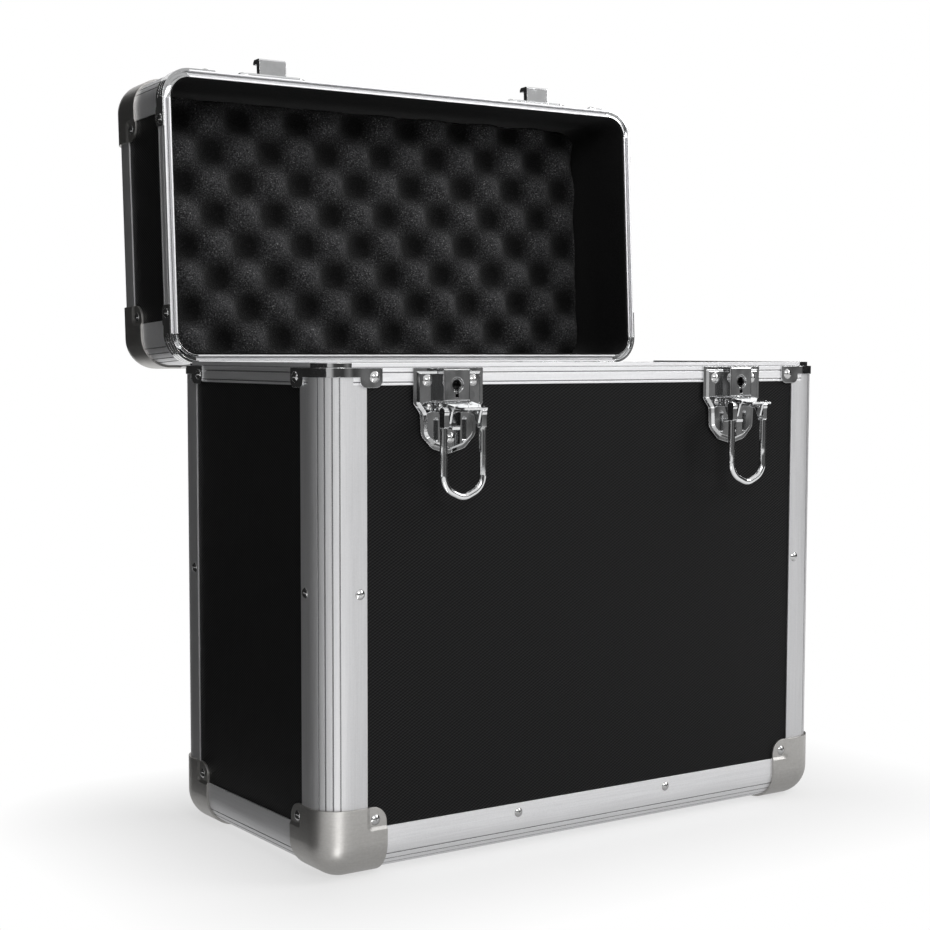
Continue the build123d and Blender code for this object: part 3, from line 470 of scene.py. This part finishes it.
# %% Finish: moulded plastic and rubber
def moulded(name, colour, rough, pebble, relief):
    """Plastic or rubber; pebble is the size of one grain of its surface."""
    material, tree, shader, place = start_finish(name, Specular_IOR_Level=0.4)
    cells = add_node(tree, "TexVoronoi", {"Vector": place, "Scale": 1.0 / pebble},
                     feature="SMOOTH_F1")
    smudge = use_group(tree, marks, {"Vector": place, "Scale": 30.0, "Cover": 0.45})
    lighter = tuple(c * 1.5 for c in colour)
    tree.links.new(two_tone(tree, cells.outputs["Distance"], colour, lighter),
                   shader.inputs["Base Color"])
    sheen = map_range(tree, smudge.outputs["Mask"], 0.0, 1.0, rough, rough + 0.12)
    tree.links.new(sheen, shader.inputs["Roughness"])
    bump(tree, shader, cells.outputs["Distance"], relief, 0.7)
    return material


# %% [markdown]
# ## Finishes go on the CAD pieces
# Each CAD piece comes with a material named after its slot. A slot that is the same finish
# everywhere gets one material, the profiles get the one that is drawn along them, and the lock
# cams get a near black one: painted shade, because all that shows of them is the bottom of a
# keyhole.

# %% Dress the CAD pieces
chrome = bright_plating("chrome_plate", dark=(0.60, 0.605, 0.61), light=(0.70, 0.705, 0.71),
                        gloss=(0.05, 0.12), wave=0.20 * MM, edge=0.35 * MM)
rivet_steel = bright_plating("rivet_steel", dark=(0.42, 0.42, 0.42), light=(0.56, 0.56, 0.56),
                             gloss=(0.14, 0.24), wave=0.01 * MM, edge=0.25 * MM)
zinc = bright_plating("zinc_plate", dark=(0.50, 0.51, 0.53), light=(0.62, 0.63, 0.64),
                      gloss=(0.26, 0.38), wave=0.03 * MM, edge=0.3 * MM)
# painted shade: the lock's core is coloured near black for the bottom of its keyhole
painted_shade_lock_core = bright_plating("painted_shade_lock_core", dark=(0.035, 0.035, 0.035), light=(0.06, 0.06, 0.06),
                           gloss=(0.25, 0.4), wave=0.02 * MM, edge=0.2 * MM)
lining_cloth = soft_black("lining_felt", dark=(0.0036, 0.0036, 0.0037),
                          light=(0.017, 0.017, 0.0175), cell=0.9 * MM, relief=0.15 * MM, sheen=0.08)
foam_skin = soft_black("lid_foam", dark=(0.013, 0.013, 0.0135), light=(0.178, 0.178, 0.186),
                       cell=1.1 * MM, relief=0.5 * MM, sheen=0.1, painted_glint_tone=0.26)
pad_cloth = soft_black("floor_foam", dark=(0.0035, 0.0035, 0.0036), light=(0.016, 0.016, 0.017),
                       cell=1.0 * MM, relief=0.25 * MM, sheen=0.1)
finishes = {
    "black_board": black_board(),
    "satin_nickel": satin_nickel(),
    "chrome_plate": chrome,
    "rivet_steel": rivet_steel,
    "zinc_plate": zinc,
    "lining_felt": lining_cloth,
    "lid_foam": foam_skin,
    "floor_foam": pad_cloth,
    "foot_rubber": moulded("foot_rubber", (0.012, 0.012, 0.012), 0.75, 0.8 * MM, 0.05 * MM),
    "grip_plastic": moulded("grip_plastic", (0.010, 0.010, 0.0105), 0.42, 1.6 * MM, 0.12 * MM),
}
profile_ways = {way: satin_aluminium(way) for way in "xyz"}


def profile_way(name):
    """The direction a profile runs in, from its longest side."""
    low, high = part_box(name)
    size = high - low
    return "xyz"[max(range(3), key=lambda axis: size[axis])]


kinds = set()
for name, piece in frame["nodes"].items():
    for slot in piece.material_slots:
        kind = slot.material.name.split(".")[0]
        kinds.add(kind)
        if name.endswith("lock_cam"):
            slot.material = painted_shade_lock_core
        elif kind == "satin_aluminium":
            slot.material = profile_ways[profile_way(name)]
        else:
            slot.material = finishes[kind]
print("dressed", len(frame["nodes"]), "pieces:", sorted(kinds))

# %% [markdown]
# ## Egg-crate foam in the lid
# The lid is padded with convoluted foam: rows of soft peaks with pits between them, each row half
# a step over from the last. The product of two cosines is exactly that surface. It is laid over a
# sheet with rounded corners, and a little noise stops it from looking machined. Peaks stand about
# 22 mm off the lid's board and pits about 10 mm.

# %% Meshes with rounded outlines
def half_width_at(y, half_w, half_d, radius):
    """Half the width of a round-cornered rectangle at a distance y from its middle."""
    into_corner = max(0.0, abs(y) - (half_d - radius))
    return half_w - radius + math.sqrt(max(0.0, radius ** 2 - into_corner ** 2))


def grid_faces(columns, rows):
    """Faces of a grid whose points are numbered row by row, and the numbers along its border."""
    wide = columns + 1
    starts = [j * wide + i for j in range(rows) for i in range(columns)]
    faces = [(a, a + 1, a + wide + 1, a + wide) for a in starts]
    border = list(range(wide))
    border += [j * wide + columns for j in range(1, rows + 1)]
    border += [rows * wide + i for i in range(columns - 1, -1, -1)]
    border += [j * wide for j in range(rows - 1, 0, -1)]
    return faces, border


def mesh_piece(name, body, slot, material, vertices, faces):
    """A new smooth mesh that rides on a body, with its finish; slot is not used."""
    mesh = bpy.data.meshes.new(name)
    mesh.from_pydata(vertices, [], faces)
    mesh.update()
    builder = bmesh.new()
    builder.from_mesh(mesh)
    bmesh.ops.recalc_face_normals(builder, faces=builder.faces)
    builder.to_mesh(mesh)
    builder.free()
    for face in mesh.polygons:
        face.use_smooth = True
    mesh.materials.append(material)
    piece = bpy.data.objects.new(name, mesh)
    bpy.context.scene.collection.objects.link(piece)
    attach(piece, body)
    return piece


# %% Lid foam: its shape
PEAK_STEP_X, PEAK_STEP_Y = 44.5 * MM, 41.8 * MM
FOAM_MEAN, FOAM_SWELL = 16.0 * MM, 6.4 * MM
FOAM_EDGE = INNER + 1.6 * MM
FOAM_TURN = math.radians(1.8)
FIRST_PEAK = Vector((-13.0 * MM, 146.0 * MM))     # across, and up from the hinge side's outer face


def foam_height(x, y):
    """Thickness of the foam at a place on the lid, y from the case's middle towards the back."""
    from_hinge = HALF_D - y
    dx, dy = x - FIRST_PEAK.x, from_hinge - FIRST_PEAK.y
    along = dx * math.cos(FOAM_TURN) + dy * math.sin(FOAM_TURN)
    over = dy * math.cos(FOAM_TURN) - dx * math.sin(FOAM_TURN)
    wave = math.cos(math.tau * along / PEAK_STEP_X) * math.cos(math.tau * over / PEAK_STEP_Y)
    ruffle = noise.noise(Vector((x, y, 0.0)) * 60.0) * 0.9 * MM
    grain_of_cut = noise.noise(Vector((x, y, 0.3)) * 420.0) * 0.35 * MM
    return FOAM_MEAN + FOAM_SWELL * wave + ruffle + grain_of_cut


def foam_sheet():
    """The pad as one closed skin: peaks towards the records, a flat back against the board."""
    half_w, half_d, radius = HALF_W - FOAM_EDGE, HALF_D - FOAM_EDGE, NOSE_R - FOAM_EDGE
    board = LID_TOP - INNER - SNUG
    columns, rows = 180, 86
    vertices = []
    for j in range(rows + 1):
        y = half_d * (2 * j / rows - 1)
        reach = half_width_at(y, half_w, half_d, radius)
        for i in range(columns + 1):
            x = reach * (2 * i / columns - 1)
            vertices.append(swing_open((x, y, board - foam_height(x, y))))
    faces, rim = grid_faces(columns, rows)
    backing = []
    for index in rim:
        j, i = divmod(index, columns + 1)
        y = half_d * (2 * j / rows - 1)
        x = half_width_at(y, half_w, half_d, radius) * (2 * i / columns - 1)
        backing.append(len(vertices))
        vertices.append(swing_open((x, y, board)))
    for k in range(len(rim)):
        n = (k + 1) % len(rim)
        faces.append((rim[k], rim[n], backing[n], backing[k]))
    faces.append(tuple(reversed(backing)))
    return vertices, faces


foam = mesh_piece("lid_egg_crate_foam", "lid", "lid_foam", foam_skin, *foam_sheet())
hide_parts("lid_foam_pad")
print("foam faces:", len(foam.data.polygons))

# %% [markdown]
# ## Painted shade in the pits
# Open cells swallow the light that enters a pit, so pits lie in deeper shade than the lamps
# alone give them. That shade is painted: the wave that shapes the foam is worked out again in its
# material, from object coordinates, and takes the colour down where the wave is low.

# %% Lid foam: painted shade in the pits
def paint_pit_shade(material):
    """Paint shade into the foam's pits, by the same wave as its shape."""
    tree = material.node_tree
    shader = tree.nodes["Principled BSDF"]
    mean_level = LID_TOP - INNER - FOAM_MEAN
    start, nearer = [swing_open((0, HALF_D - run, mean_level)) for run in (0.0, 0.1)]
    across, up = Vector((1, 0, 0)), (nearer - start).normalized()
    peak = start + across * FIRST_PEAK.x + up * FIRST_PEAK.y
    turn = math.cos(FOAM_TURN), math.sin(FOAM_TURN)
    place = add_node(tree, "TexCoord").outputs["Object"]
    local = add_node(tree, "VectorMath", {0: place, 1: peak}, operation="SUBTRACT").outputs[0]
    ways = ((across * turn[0] + up * turn[1], PEAK_STEP_X),
            (up * turn[0] - across * turn[1], PEAK_STEP_Y))
    cosines = []
    for way, step in ways:
        run = add_node(tree, "VectorMath", {0: local, 1: way}, operation="DOT_PRODUCT")
        phase = math_node(tree, "MULTIPLY", run.outputs["Value"], math.tau / step)
        cosines.append(math_node(tree, "COSINE", phase))
    wave = math_node(tree, "MULTIPLY", *cosines)
    # painted shade: near black where the wave is low
    painted_pit_shade = map_range(tree, wave, 0.62, -0.50, 0.0, 0.92)
    colour = shader.inputs["Base Color"].links[0].from_socket
    tree.links.new(tinted(tree, painted_pit_shade, colour, (0.004, 0.004, 0.004)), shader.inputs["Base Color"])


paint_pit_shade(foam_skin)
print("nodes in the foam's material:", len(foam_skin.node_tree.nodes))

# %% [markdown]
# ## Linings
# Brushed nylon over thin foam covers the walls of body and lid, and runs round the inside of the
# upright corners, so no metal shows inside. Each is one closed band: a round-cornered loop with
# a thin section that is rounded off at its open edge.

# %% Lining bands
LINING_T = 1.2 * MM
EDGE_DROP = 1.2 * MM            # how far the lining's edge lies below the rim
CLEAR_OF_BOARD = 18.2 * MM      # the lining stops this far from the outside of base and lid


def loop_points(depth, straight_step, turn_steps):
    """Points round the case at a depth inside its outer face, anticlockwise from the back right."""
    radius = NOSE_R - depth
    corners = [(1, 1, 0), (-1, 1, 90), (-1, -1, 180), (1, -1, 270)]
    points = []
    for sx, sy, start_angle in corners:
        centre = Vector((sx * (HALF_W - NOSE_R), sy * (HALF_D - NOSE_R)))
        for k in range(turn_steps + 1):
            angle = math.radians(start_angle + 90 * k / turn_steps)
            points.append(centre + radius * Vector((math.cos(angle), math.sin(angle))))
    full = []
    for k, point in enumerate(points):
        following = points[(k + 1) % len(points)]
        gap = (following - point).length
        pieces = max(1, round(gap / straight_step)) if gap > 2 * straight_step else 1
        full += [point.lerp(following, t / pieces) for t in range(pieces)]
    return full


def lining_band(low, high, opened):
    """A closed band round the walls, as vertices and faces."""
    section = [(0.0, low), (0.0, high - 0.4 * MM), (0.25, high), (0.75, high),
               (1.0, high - 0.5 * MM), (1.0, low)]
    outer = loop_points(INNER + SNUG, 8 * MM, 8)
    inner = loop_points(INNER + SNUG + LINING_T, 8 * MM, 8)
    count = len(outer)
    vertices, faces = [], []
    for k in range(count):
        for share, z in section:
            flat = outer[k].lerp(inner[k], share)
            point = (flat.x, flat.y, z)
            vertices.append(swing_open(point) if opened else Vector(point))
    size = len(section)
    for k in range(count):
        n = (k + 1) % count
        for s in range(size):
            t = (s + 1) % size
            faces.append((k * size + s, k * size + t, n * size + t, n * size + s))
    return vertices, faces


body_band = mesh_piece("body_lining_band", "case", "lining_felt", lining_cloth,
                       *lining_band(FLOOR_OF_CASE + CLEAR_OF_BOARD, BODY_RIM - EDGE_DROP, False))
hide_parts("body_wall_lining")
lid_band = mesh_piece("lid_lining_band", "lid", "lining_felt", lining_cloth,
                      *lining_band(LID_RIM + EDGE_DROP, LID_TOP - CLEAR_OF_BOARD, True))
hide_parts("lid_wall_lining")
print("lining faces:", len(body_band.data.polygons), "and", len(lid_band.data.polygons))

# %% [markdown]
# ## Floor pad
# The body's floor has a near black foam pad. It lies on the base board between the base profiles,
# so its underside steps in. On top it crowns by a millimetre and rolls over at the edge.

# %% Floor pad
PAD_EDGE = INNER + 1.5 * MM
PAD_T, PAD_CROWN, PAD_ROLL = 8.0 * MM, 0.9 * MM, 1.6 * MM
ROLL_REACH = 4 * MM             # width of the border that rolls over
STEP_IN, STEP_UP = NOSE_R - 0.8 * MM - PAD_EDGE, 3.6 * MM     # how the underside steps in


def floor_pad():
    """The pad as one closed skin, from its crowned top to its flat underside."""
    half_w, half_d, radius = HALF_W - PAD_EDGE, HALF_D - PAD_EDGE, NOSE_R - PAD_EDGE
    bottom = FLOOR_OF_CASE + INNER + SNUG
    columns, rows = 72, 36
    vertices = []
    for j in range(rows + 1):
        v = 2 * j / rows - 1
        for i in range(columns + 1):
            u = 2 * i / columns - 1
            y = half_d * v
            x = half_width_at(y, half_w, half_d, radius) * u
            border = min(half_w - abs(x), half_d - abs(y))
            roll = PAD_ROLL * (1 - min(1.0, border / ROLL_REACH)) ** 2
            crown = PAD_CROWN * (1 - u ** 4) * (1 - v ** 4)
            quilt = noise.noise(Vector((x, y, 0.0)) * 25.0) * 0.35 * MM
            vertices.append(Vector((x, y, bottom + PAD_T - roll + crown + quilt)))
    faces, rim = grid_faces(columns, rows)
    last = rim
    for inset, height in ((0.3 * STEP_IN, STEP_UP), (STEP_IN, 0.0)):
        ring = []
        for index in rim:
            edge = vertices[index]
            x = edge.x * (half_w - inset) / half_w
            y = edge.y * (half_d - inset) / half_d
            ring.append(len(vertices))
            vertices.append(Vector((x, y, bottom + height)))
        for k in range(len(rim)):
            n = (k + 1) % len(rim)
            faces.append((last[k], last[n], ring[n], ring[k]))
        last = ring
    faces.append(tuple(reversed(last)))
    return vertices, faces


pad = mesh_piece("body_floor_cushion", "case", "floor_foam", pad_cloth, *floor_pad())
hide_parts("body_floor_pad")
print("floor pad faces:", len(pad.data.polygons))

# %% [markdown]
# ## Floor
# The floor is a plain sheet of white paper. For the camera and for mirrors it also glows by
# itself, so that it fades into the white room with no edge. Close to the case the camera sees more
# of the plain paper, which keeps the case's shadow, and mirrors see a dimmer glow. The Light Path
# node tells the kinds of ray apart.

# %% Floor
FLOOR_REACH = 8.0
WHITE_AT, SEEN_NEAR = 0.12, 0.60             # how far out the glow is full, its share at the case
MIRROR_WHITE_AT, MIRROR_NEAR = 0.20, 0.52    # the same for mirrors, with a level for the share


def floor_material():
    """White paper that glows for the camera and for mirrors, but less so close to the case."""
    material = bpy.data.materials.new("studio_floor")
    material.use_nodes = True
    tree = material.node_tree
    tree.nodes.clear()
    paper = add_node(tree, "BsdfDiffuse", {"Color": (0.93, 0.93, 0.93, 1.0)})
    place = add_node(tree, "SeparateXYZ", {0: add_node(tree, "TexCoord").outputs["Object"]})
    beyond = []
    for axis, reach in (("X", HALF_W), ("Y", HALF_D)):
        out = math_node(tree, "SUBTRACT", math_node(tree, "ABSOLUTE", place.outputs[axis]), reach)
        beyond.append(math_node(tree, "POWER", math_node(tree, "MAXIMUM", out, 0.0), 2.0))
    distance = math_node(tree, "SQRT", math_node(tree, "ADD", *beyond))
    rays = add_node(tree, "LightPath")
    mirrored = math_node(
        tree, "MAXIMUM", rays.outputs["Is Glossy Ray"], rays.outputs["Is Transmission Ray"])
    near_seen = map_range(tree, distance, 0.0, WHITE_AT, SEEN_NEAR, 1.0)
    near_mirrored = map_range(tree, distance, 0.0, MIRROR_WHITE_AT, MIRROR_NEAR, 1.0)
    share = math_node(tree, "MULTIPLY_ADD", rays.outputs["Is Camera Ray"], near_seen, mirrored)
    level = math_node(tree, "MULTIPLY_ADD", mirrored, near_mirrored, rays.outputs["Is Camera Ray"])
    glow = add_node(tree, "Emission", {"Color": (1.0, 1.0, 1.0, 1.0), "Strength": level})
    mixed = add_node(tree, "MixShader", {0: share, 1: paper.outputs[0], 2: glow.outputs[0]})
    out = add_node(tree, "OutputMaterial")
    tree.links.new(mixed.outputs[0], out.inputs["Surface"])
    return material


def stage_sheet(name, vertices, faces, material, hidden=False):
    """A sheet, or a row of them, that belongs to the studio; the camera need not see it."""
    mesh = bpy.data.meshes.new(name)
    mesh.from_pydata([Vector(v) for v in vertices], [], faces)
    mesh.materials.append(material)
    sheet = bpy.data.objects.new(name, mesh)
    bpy.context.scene.collection.objects.link(sheet)
    sheet.visible_camera = not hidden
    return sheet


corners = [(-FLOOR_REACH, -FLOOR_REACH, 0), (FLOOR_REACH, -FLOOR_REACH, 0),
           (FLOOR_REACH, FLOOR_REACH, 0), (-FLOOR_REACH, FLOOR_REACH, 0)]
studio_floor = stage_sheet("studio_floor", corners, [(0, 1, 2, 3)], floor_material())
print("floor:", tuple(round(side, 1) for side in studio_floor.dimensions))

# %% [markdown]
# ## Ring and flags
# Polished metal is only as good as what it reflects, so the studio is built for its mirrors. A
# dark ring stands all round, with paler banners at some compass angles, so that upright chrome
# shows a dark horizon between a white floor and a white ceiling. Black cards, called flags, stand
# on the left and on the right, and one lies on the floor on the left. No camera sees them, and the
# one on the floor is seen by mirrors only.

# %% Ring and flags
FLAG_LIFT, CARD_LIFT = 0.003, 0.004     # flags and cards that lie down are just off the floor
BANNERS = [(-180, 0.15), (-152, 0.55), (-141, 0.50), (-130, 0.05), (-100, 0.03), (-80, 0.20),
           (-74, 0.04), (-66, 0.03), (-60, 0.19), (-56, 0.06), (-51, 0.06), (-46, 0.20),
           (-41, 0.04), (-24, 0.05), (0, 0.02), (150, 0.02)]      # degrees from +X, brightness
flag_cloth = bpy.data.materials.new("flag_cloth")
flag_cloth.use_nodes = True
flag_shader = flag_cloth.node_tree.nodes["Principled BSDF"]
flag_shader.inputs["Base Color"].default_value = (0.03, 0.03, 0.03, 1.0)
flag_shader.inputs["Roughness"].default_value = 1.0


def grey_ring():
    """Cloth of the ring round the case: black, with paler banners at some compass angles."""
    material = bpy.data.materials.new("ring_cloth")
    material.use_nodes = True
    tree = material.node_tree
    shader = tree.nodes["Principled BSDF"]
    shader.inputs["Roughness"].default_value = 1.0
    shader.inputs["Base Color"].default_value = (0.02, 0.02, 0.02, 1.0)
    shader.inputs["Emission Strength"].default_value = 1.0
    place = add_node(tree, "SeparateXYZ", {0: add_node(tree, "TexCoord").outputs["Object"]})
    angle = math_node(tree, "ARCTAN2", place.outputs["Y"], place.outputs["X"])
    turn = map_range(tree, angle, -math.pi, math.pi, 0.0, 1.0)
    ramp = tree.nodes.new("ShaderNodeValToRGB")
    tree.links.new(turn, ramp.inputs["Fac"])
    while len(ramp.color_ramp.elements) < len(BANNERS):
        ramp.color_ramp.elements.new(0.5)
    for stop, (degrees, tone) in zip(ramp.color_ramp.elements, BANNERS):
        stop.position, stop.color = (degrees + 180) / 360, (tone, tone, tone, 1.0)
    tree.links.new(ramp.outputs["Color"], shader.inputs["Emission Color"])
    return material


def curved_flag(name, start, end, radius, height, low=0.002, cloth=flag_cloth):
    """A card bent round the case, between two compass angles in degrees from +X."""
    count = max(2, round(abs(end - start) / 10))
    vertices, faces = [], []
    for k in range(count + 1):
        angle = math.radians(start + (end - start) * k / count)
        x, y = radius * math.cos(angle), radius * math.sin(angle)
        vertices += [(x, y, low), (x, y, low + height)]
    for k in range(count):
        faces.append((2 * k, 2 * k + 2, 2 * k + 3, 2 * k + 1))
    return stage_sheet(name, vertices, faces, cloth, hidden=True)


curved_flag("horizon_flag", 0, 360, 2.6, 0.85, cloth=grey_ring())
curved_flag("left_flag", 95, 205, 1.5, 2.2)
curved_flag("right_flag", -35, 60, 1.9, 1.5)
ground = [(-0.21, -0.07, FLAG_LIFT), (-0.21, 1.3, FLAG_LIFT),
          (-1.4, 1.3, FLAG_LIFT), (-1.4, -0.30, FLAG_LIFT)]
for_mirrors = [stage_sheet("floor_flag", ground, [(0, 1, 2, 3)], flag_cloth, hidden=True)]
print("banners in the ring:", len(BANNERS))

# %% [markdown]
# ## Cards that shine
# A highlight needs something bright to mirror. A dim card hangs in front for the strikes and for
# the corners of the lid's rim. Small cards near the case put a highlight on the rounded lower
# corner and on the latch levers, and lighten the left side: these are seen by mirrors only.

# %% Cards that shine
def lit_card(name, level):
    """White card that shines by itself at an even level."""
    material = bpy.data.materials.new(name)
    material.use_nodes = True
    shader = material.node_tree.nodes["Principled BSDF"]
    shader.inputs["Base Color"].default_value = (0.8, 0.8, 0.8, 1.0)
    shader.inputs["Emission Color"].default_value = (1.0, 1.0, 1.0, 1.0)
    shader.inputs["Emission Strength"].default_value = level
    return material


white_card = lit_card("white_card", 0.9)
lever_card = lit_card("lever_card", 1.5)
bright_card = lit_card("bright_card", 3.0)
grey_card = lit_card("grey_card", 0.16)
curved_flag("front_flag", 282, 314, 2.59, 0.95, low=0.85, cloth=lit_card("dim_card", 0.15))
for_mirrors.append(curved_flag("left_card", 145, 200, 1.45, 0.08, low=0.07, cloth=white_card))
for_mirrors.append(curved_flag("lever_card", 290, 324, 1.0, 0.13, low=0.485, cloth=lever_card))
FAN_X, FAN_Y = -0.177, -0.083           # the fan spreads from the front left corner
fan = []
for out, turn in ((0.02, 232), (0.02, 256), (0.5, 252), (0.5, 238)):
    angle = math.radians(turn)
    fan.append((FAN_X + out * math.cos(angle), FAN_Y + out * math.sin(angle), CARD_LIFT))
for_mirrors.append(stage_sheet("floor_card", fan, [(0, 1, 2, 3)], bright_card, hidden=True))
strip = [(-0.188, -0.098, CARD_LIFT), (-0.188, 1.3, CARD_LIFT),
         (-0.212, 1.3, CARD_LIFT), (-0.212, -0.098, CARD_LIFT)]
for_mirrors.append(stage_sheet("floor_strip", strip, [(0, 1, 2, 3)], grey_card, hidden=True))
for sheet in for_mirrors:
    sheet.visible_diffuse = False
    sheet.visible_shadow = False
print("seen by mirrors only:", [sheet.name for sheet in for_mirrors])

# %% [markdown]
# ## Room and lamps
# The room is white: the camera and mirrors see it at a strength of 1, which is white, and
# everything else gets half as much, as soft light from all round. Two softboxes light the front,
# a strong one on the right and a weaker one above the camera.

# %% Room
AMBIENT = 0.5
world = bpy.data.worlds.new("white_room")
bpy.context.scene.world = world
world.use_nodes = True
sky = world.node_tree
sky.nodes.clear()
rays = add_node(sky, "LightPath")
seen = math_node(sky, "MAXIMUM", rays.outputs["Is Camera Ray"], rays.outputs["Is Glossy Ray"])
seen = math_node(sky, "MAXIMUM", seen, rays.outputs["Is Transmission Ray"])
level = map_range(sky, seen, 0.0, 1.0, AMBIENT, 1.0)
shine = add_node(sky, "Background", {"Color": (1.0, 1.0, 1.0, 1.0), "Strength": level})
out = add_node(sky, "OutputWorld")
sky.links.new(shine.outputs[0], out.inputs["Surface"])
print("room light on the case:", AMBIENT)


# %% Lamps
def soft_light(name, place, aim, size, watts):
    """A square softbox that looks at a point."""
    lamp = bpy.data.lights.new(name, "AREA")
    lamp.energy = watts
    lamp.size = size
    light = bpy.data.objects.new(name, lamp)
    light.location = place
    light.rotation_euler = (Vector(aim) - Vector(place)).to_track_quat("-Z", "Y").to_euler()
    bpy.context.scene.collection.objects.link(light)
    return light


case_middle = (0.0, 0.0, 0.2)
soft_light("key_softbox", (1.56, -1.02, 1.25), case_middle, 0.9, 20.0)
soft_light("camera_softbox", (-0.6, -1.9, 1.25), case_middle, 0.7, 10.0)
print("watts:", {lamp.name: lamp.energy for lamp in bpy.data.lights})

# %% [markdown]
# ## Camera
# A long lens stands to the left, about a centimetre above the rim of the body. It looks down by
# about four degrees, and a small shift sets the case in the middle of the picture.

# %% Camera
CAMERA_PLACE = Vector((-0.6544, -0.9147, 0.28956 + FLOOR_OF_CASE))
TURN, TILT, ROLL = math.radians(-34.217), math.radians(4.278), math.radians(0.111)
camera_data = bpy.data.cameras.new("studio_camera")
camera_data.sensor_width = 36.0
camera_data.lens = 68.7
camera_data.shift_y = 0.0195
camera = bpy.data.objects.new("studio_camera", camera_data)
look = (Matrix.Rotation(TURN, 4, "Z") @ Matrix.Rotation(math.pi / 2 - TILT, 4, "X")
        @ Matrix.Rotation(ROLL, 4, "Z"))
camera.matrix_world = Matrix.Translation(CAMERA_PLACE) @ look
bpy.context.scene.collection.objects.link(camera)
bpy.context.scene.camera = camera
bpy.context.scene.view_settings.view_transform = "Standard"
print("camera is", round(CAMERA_PLACE.length, 2), "m from the middle of the case's foot")
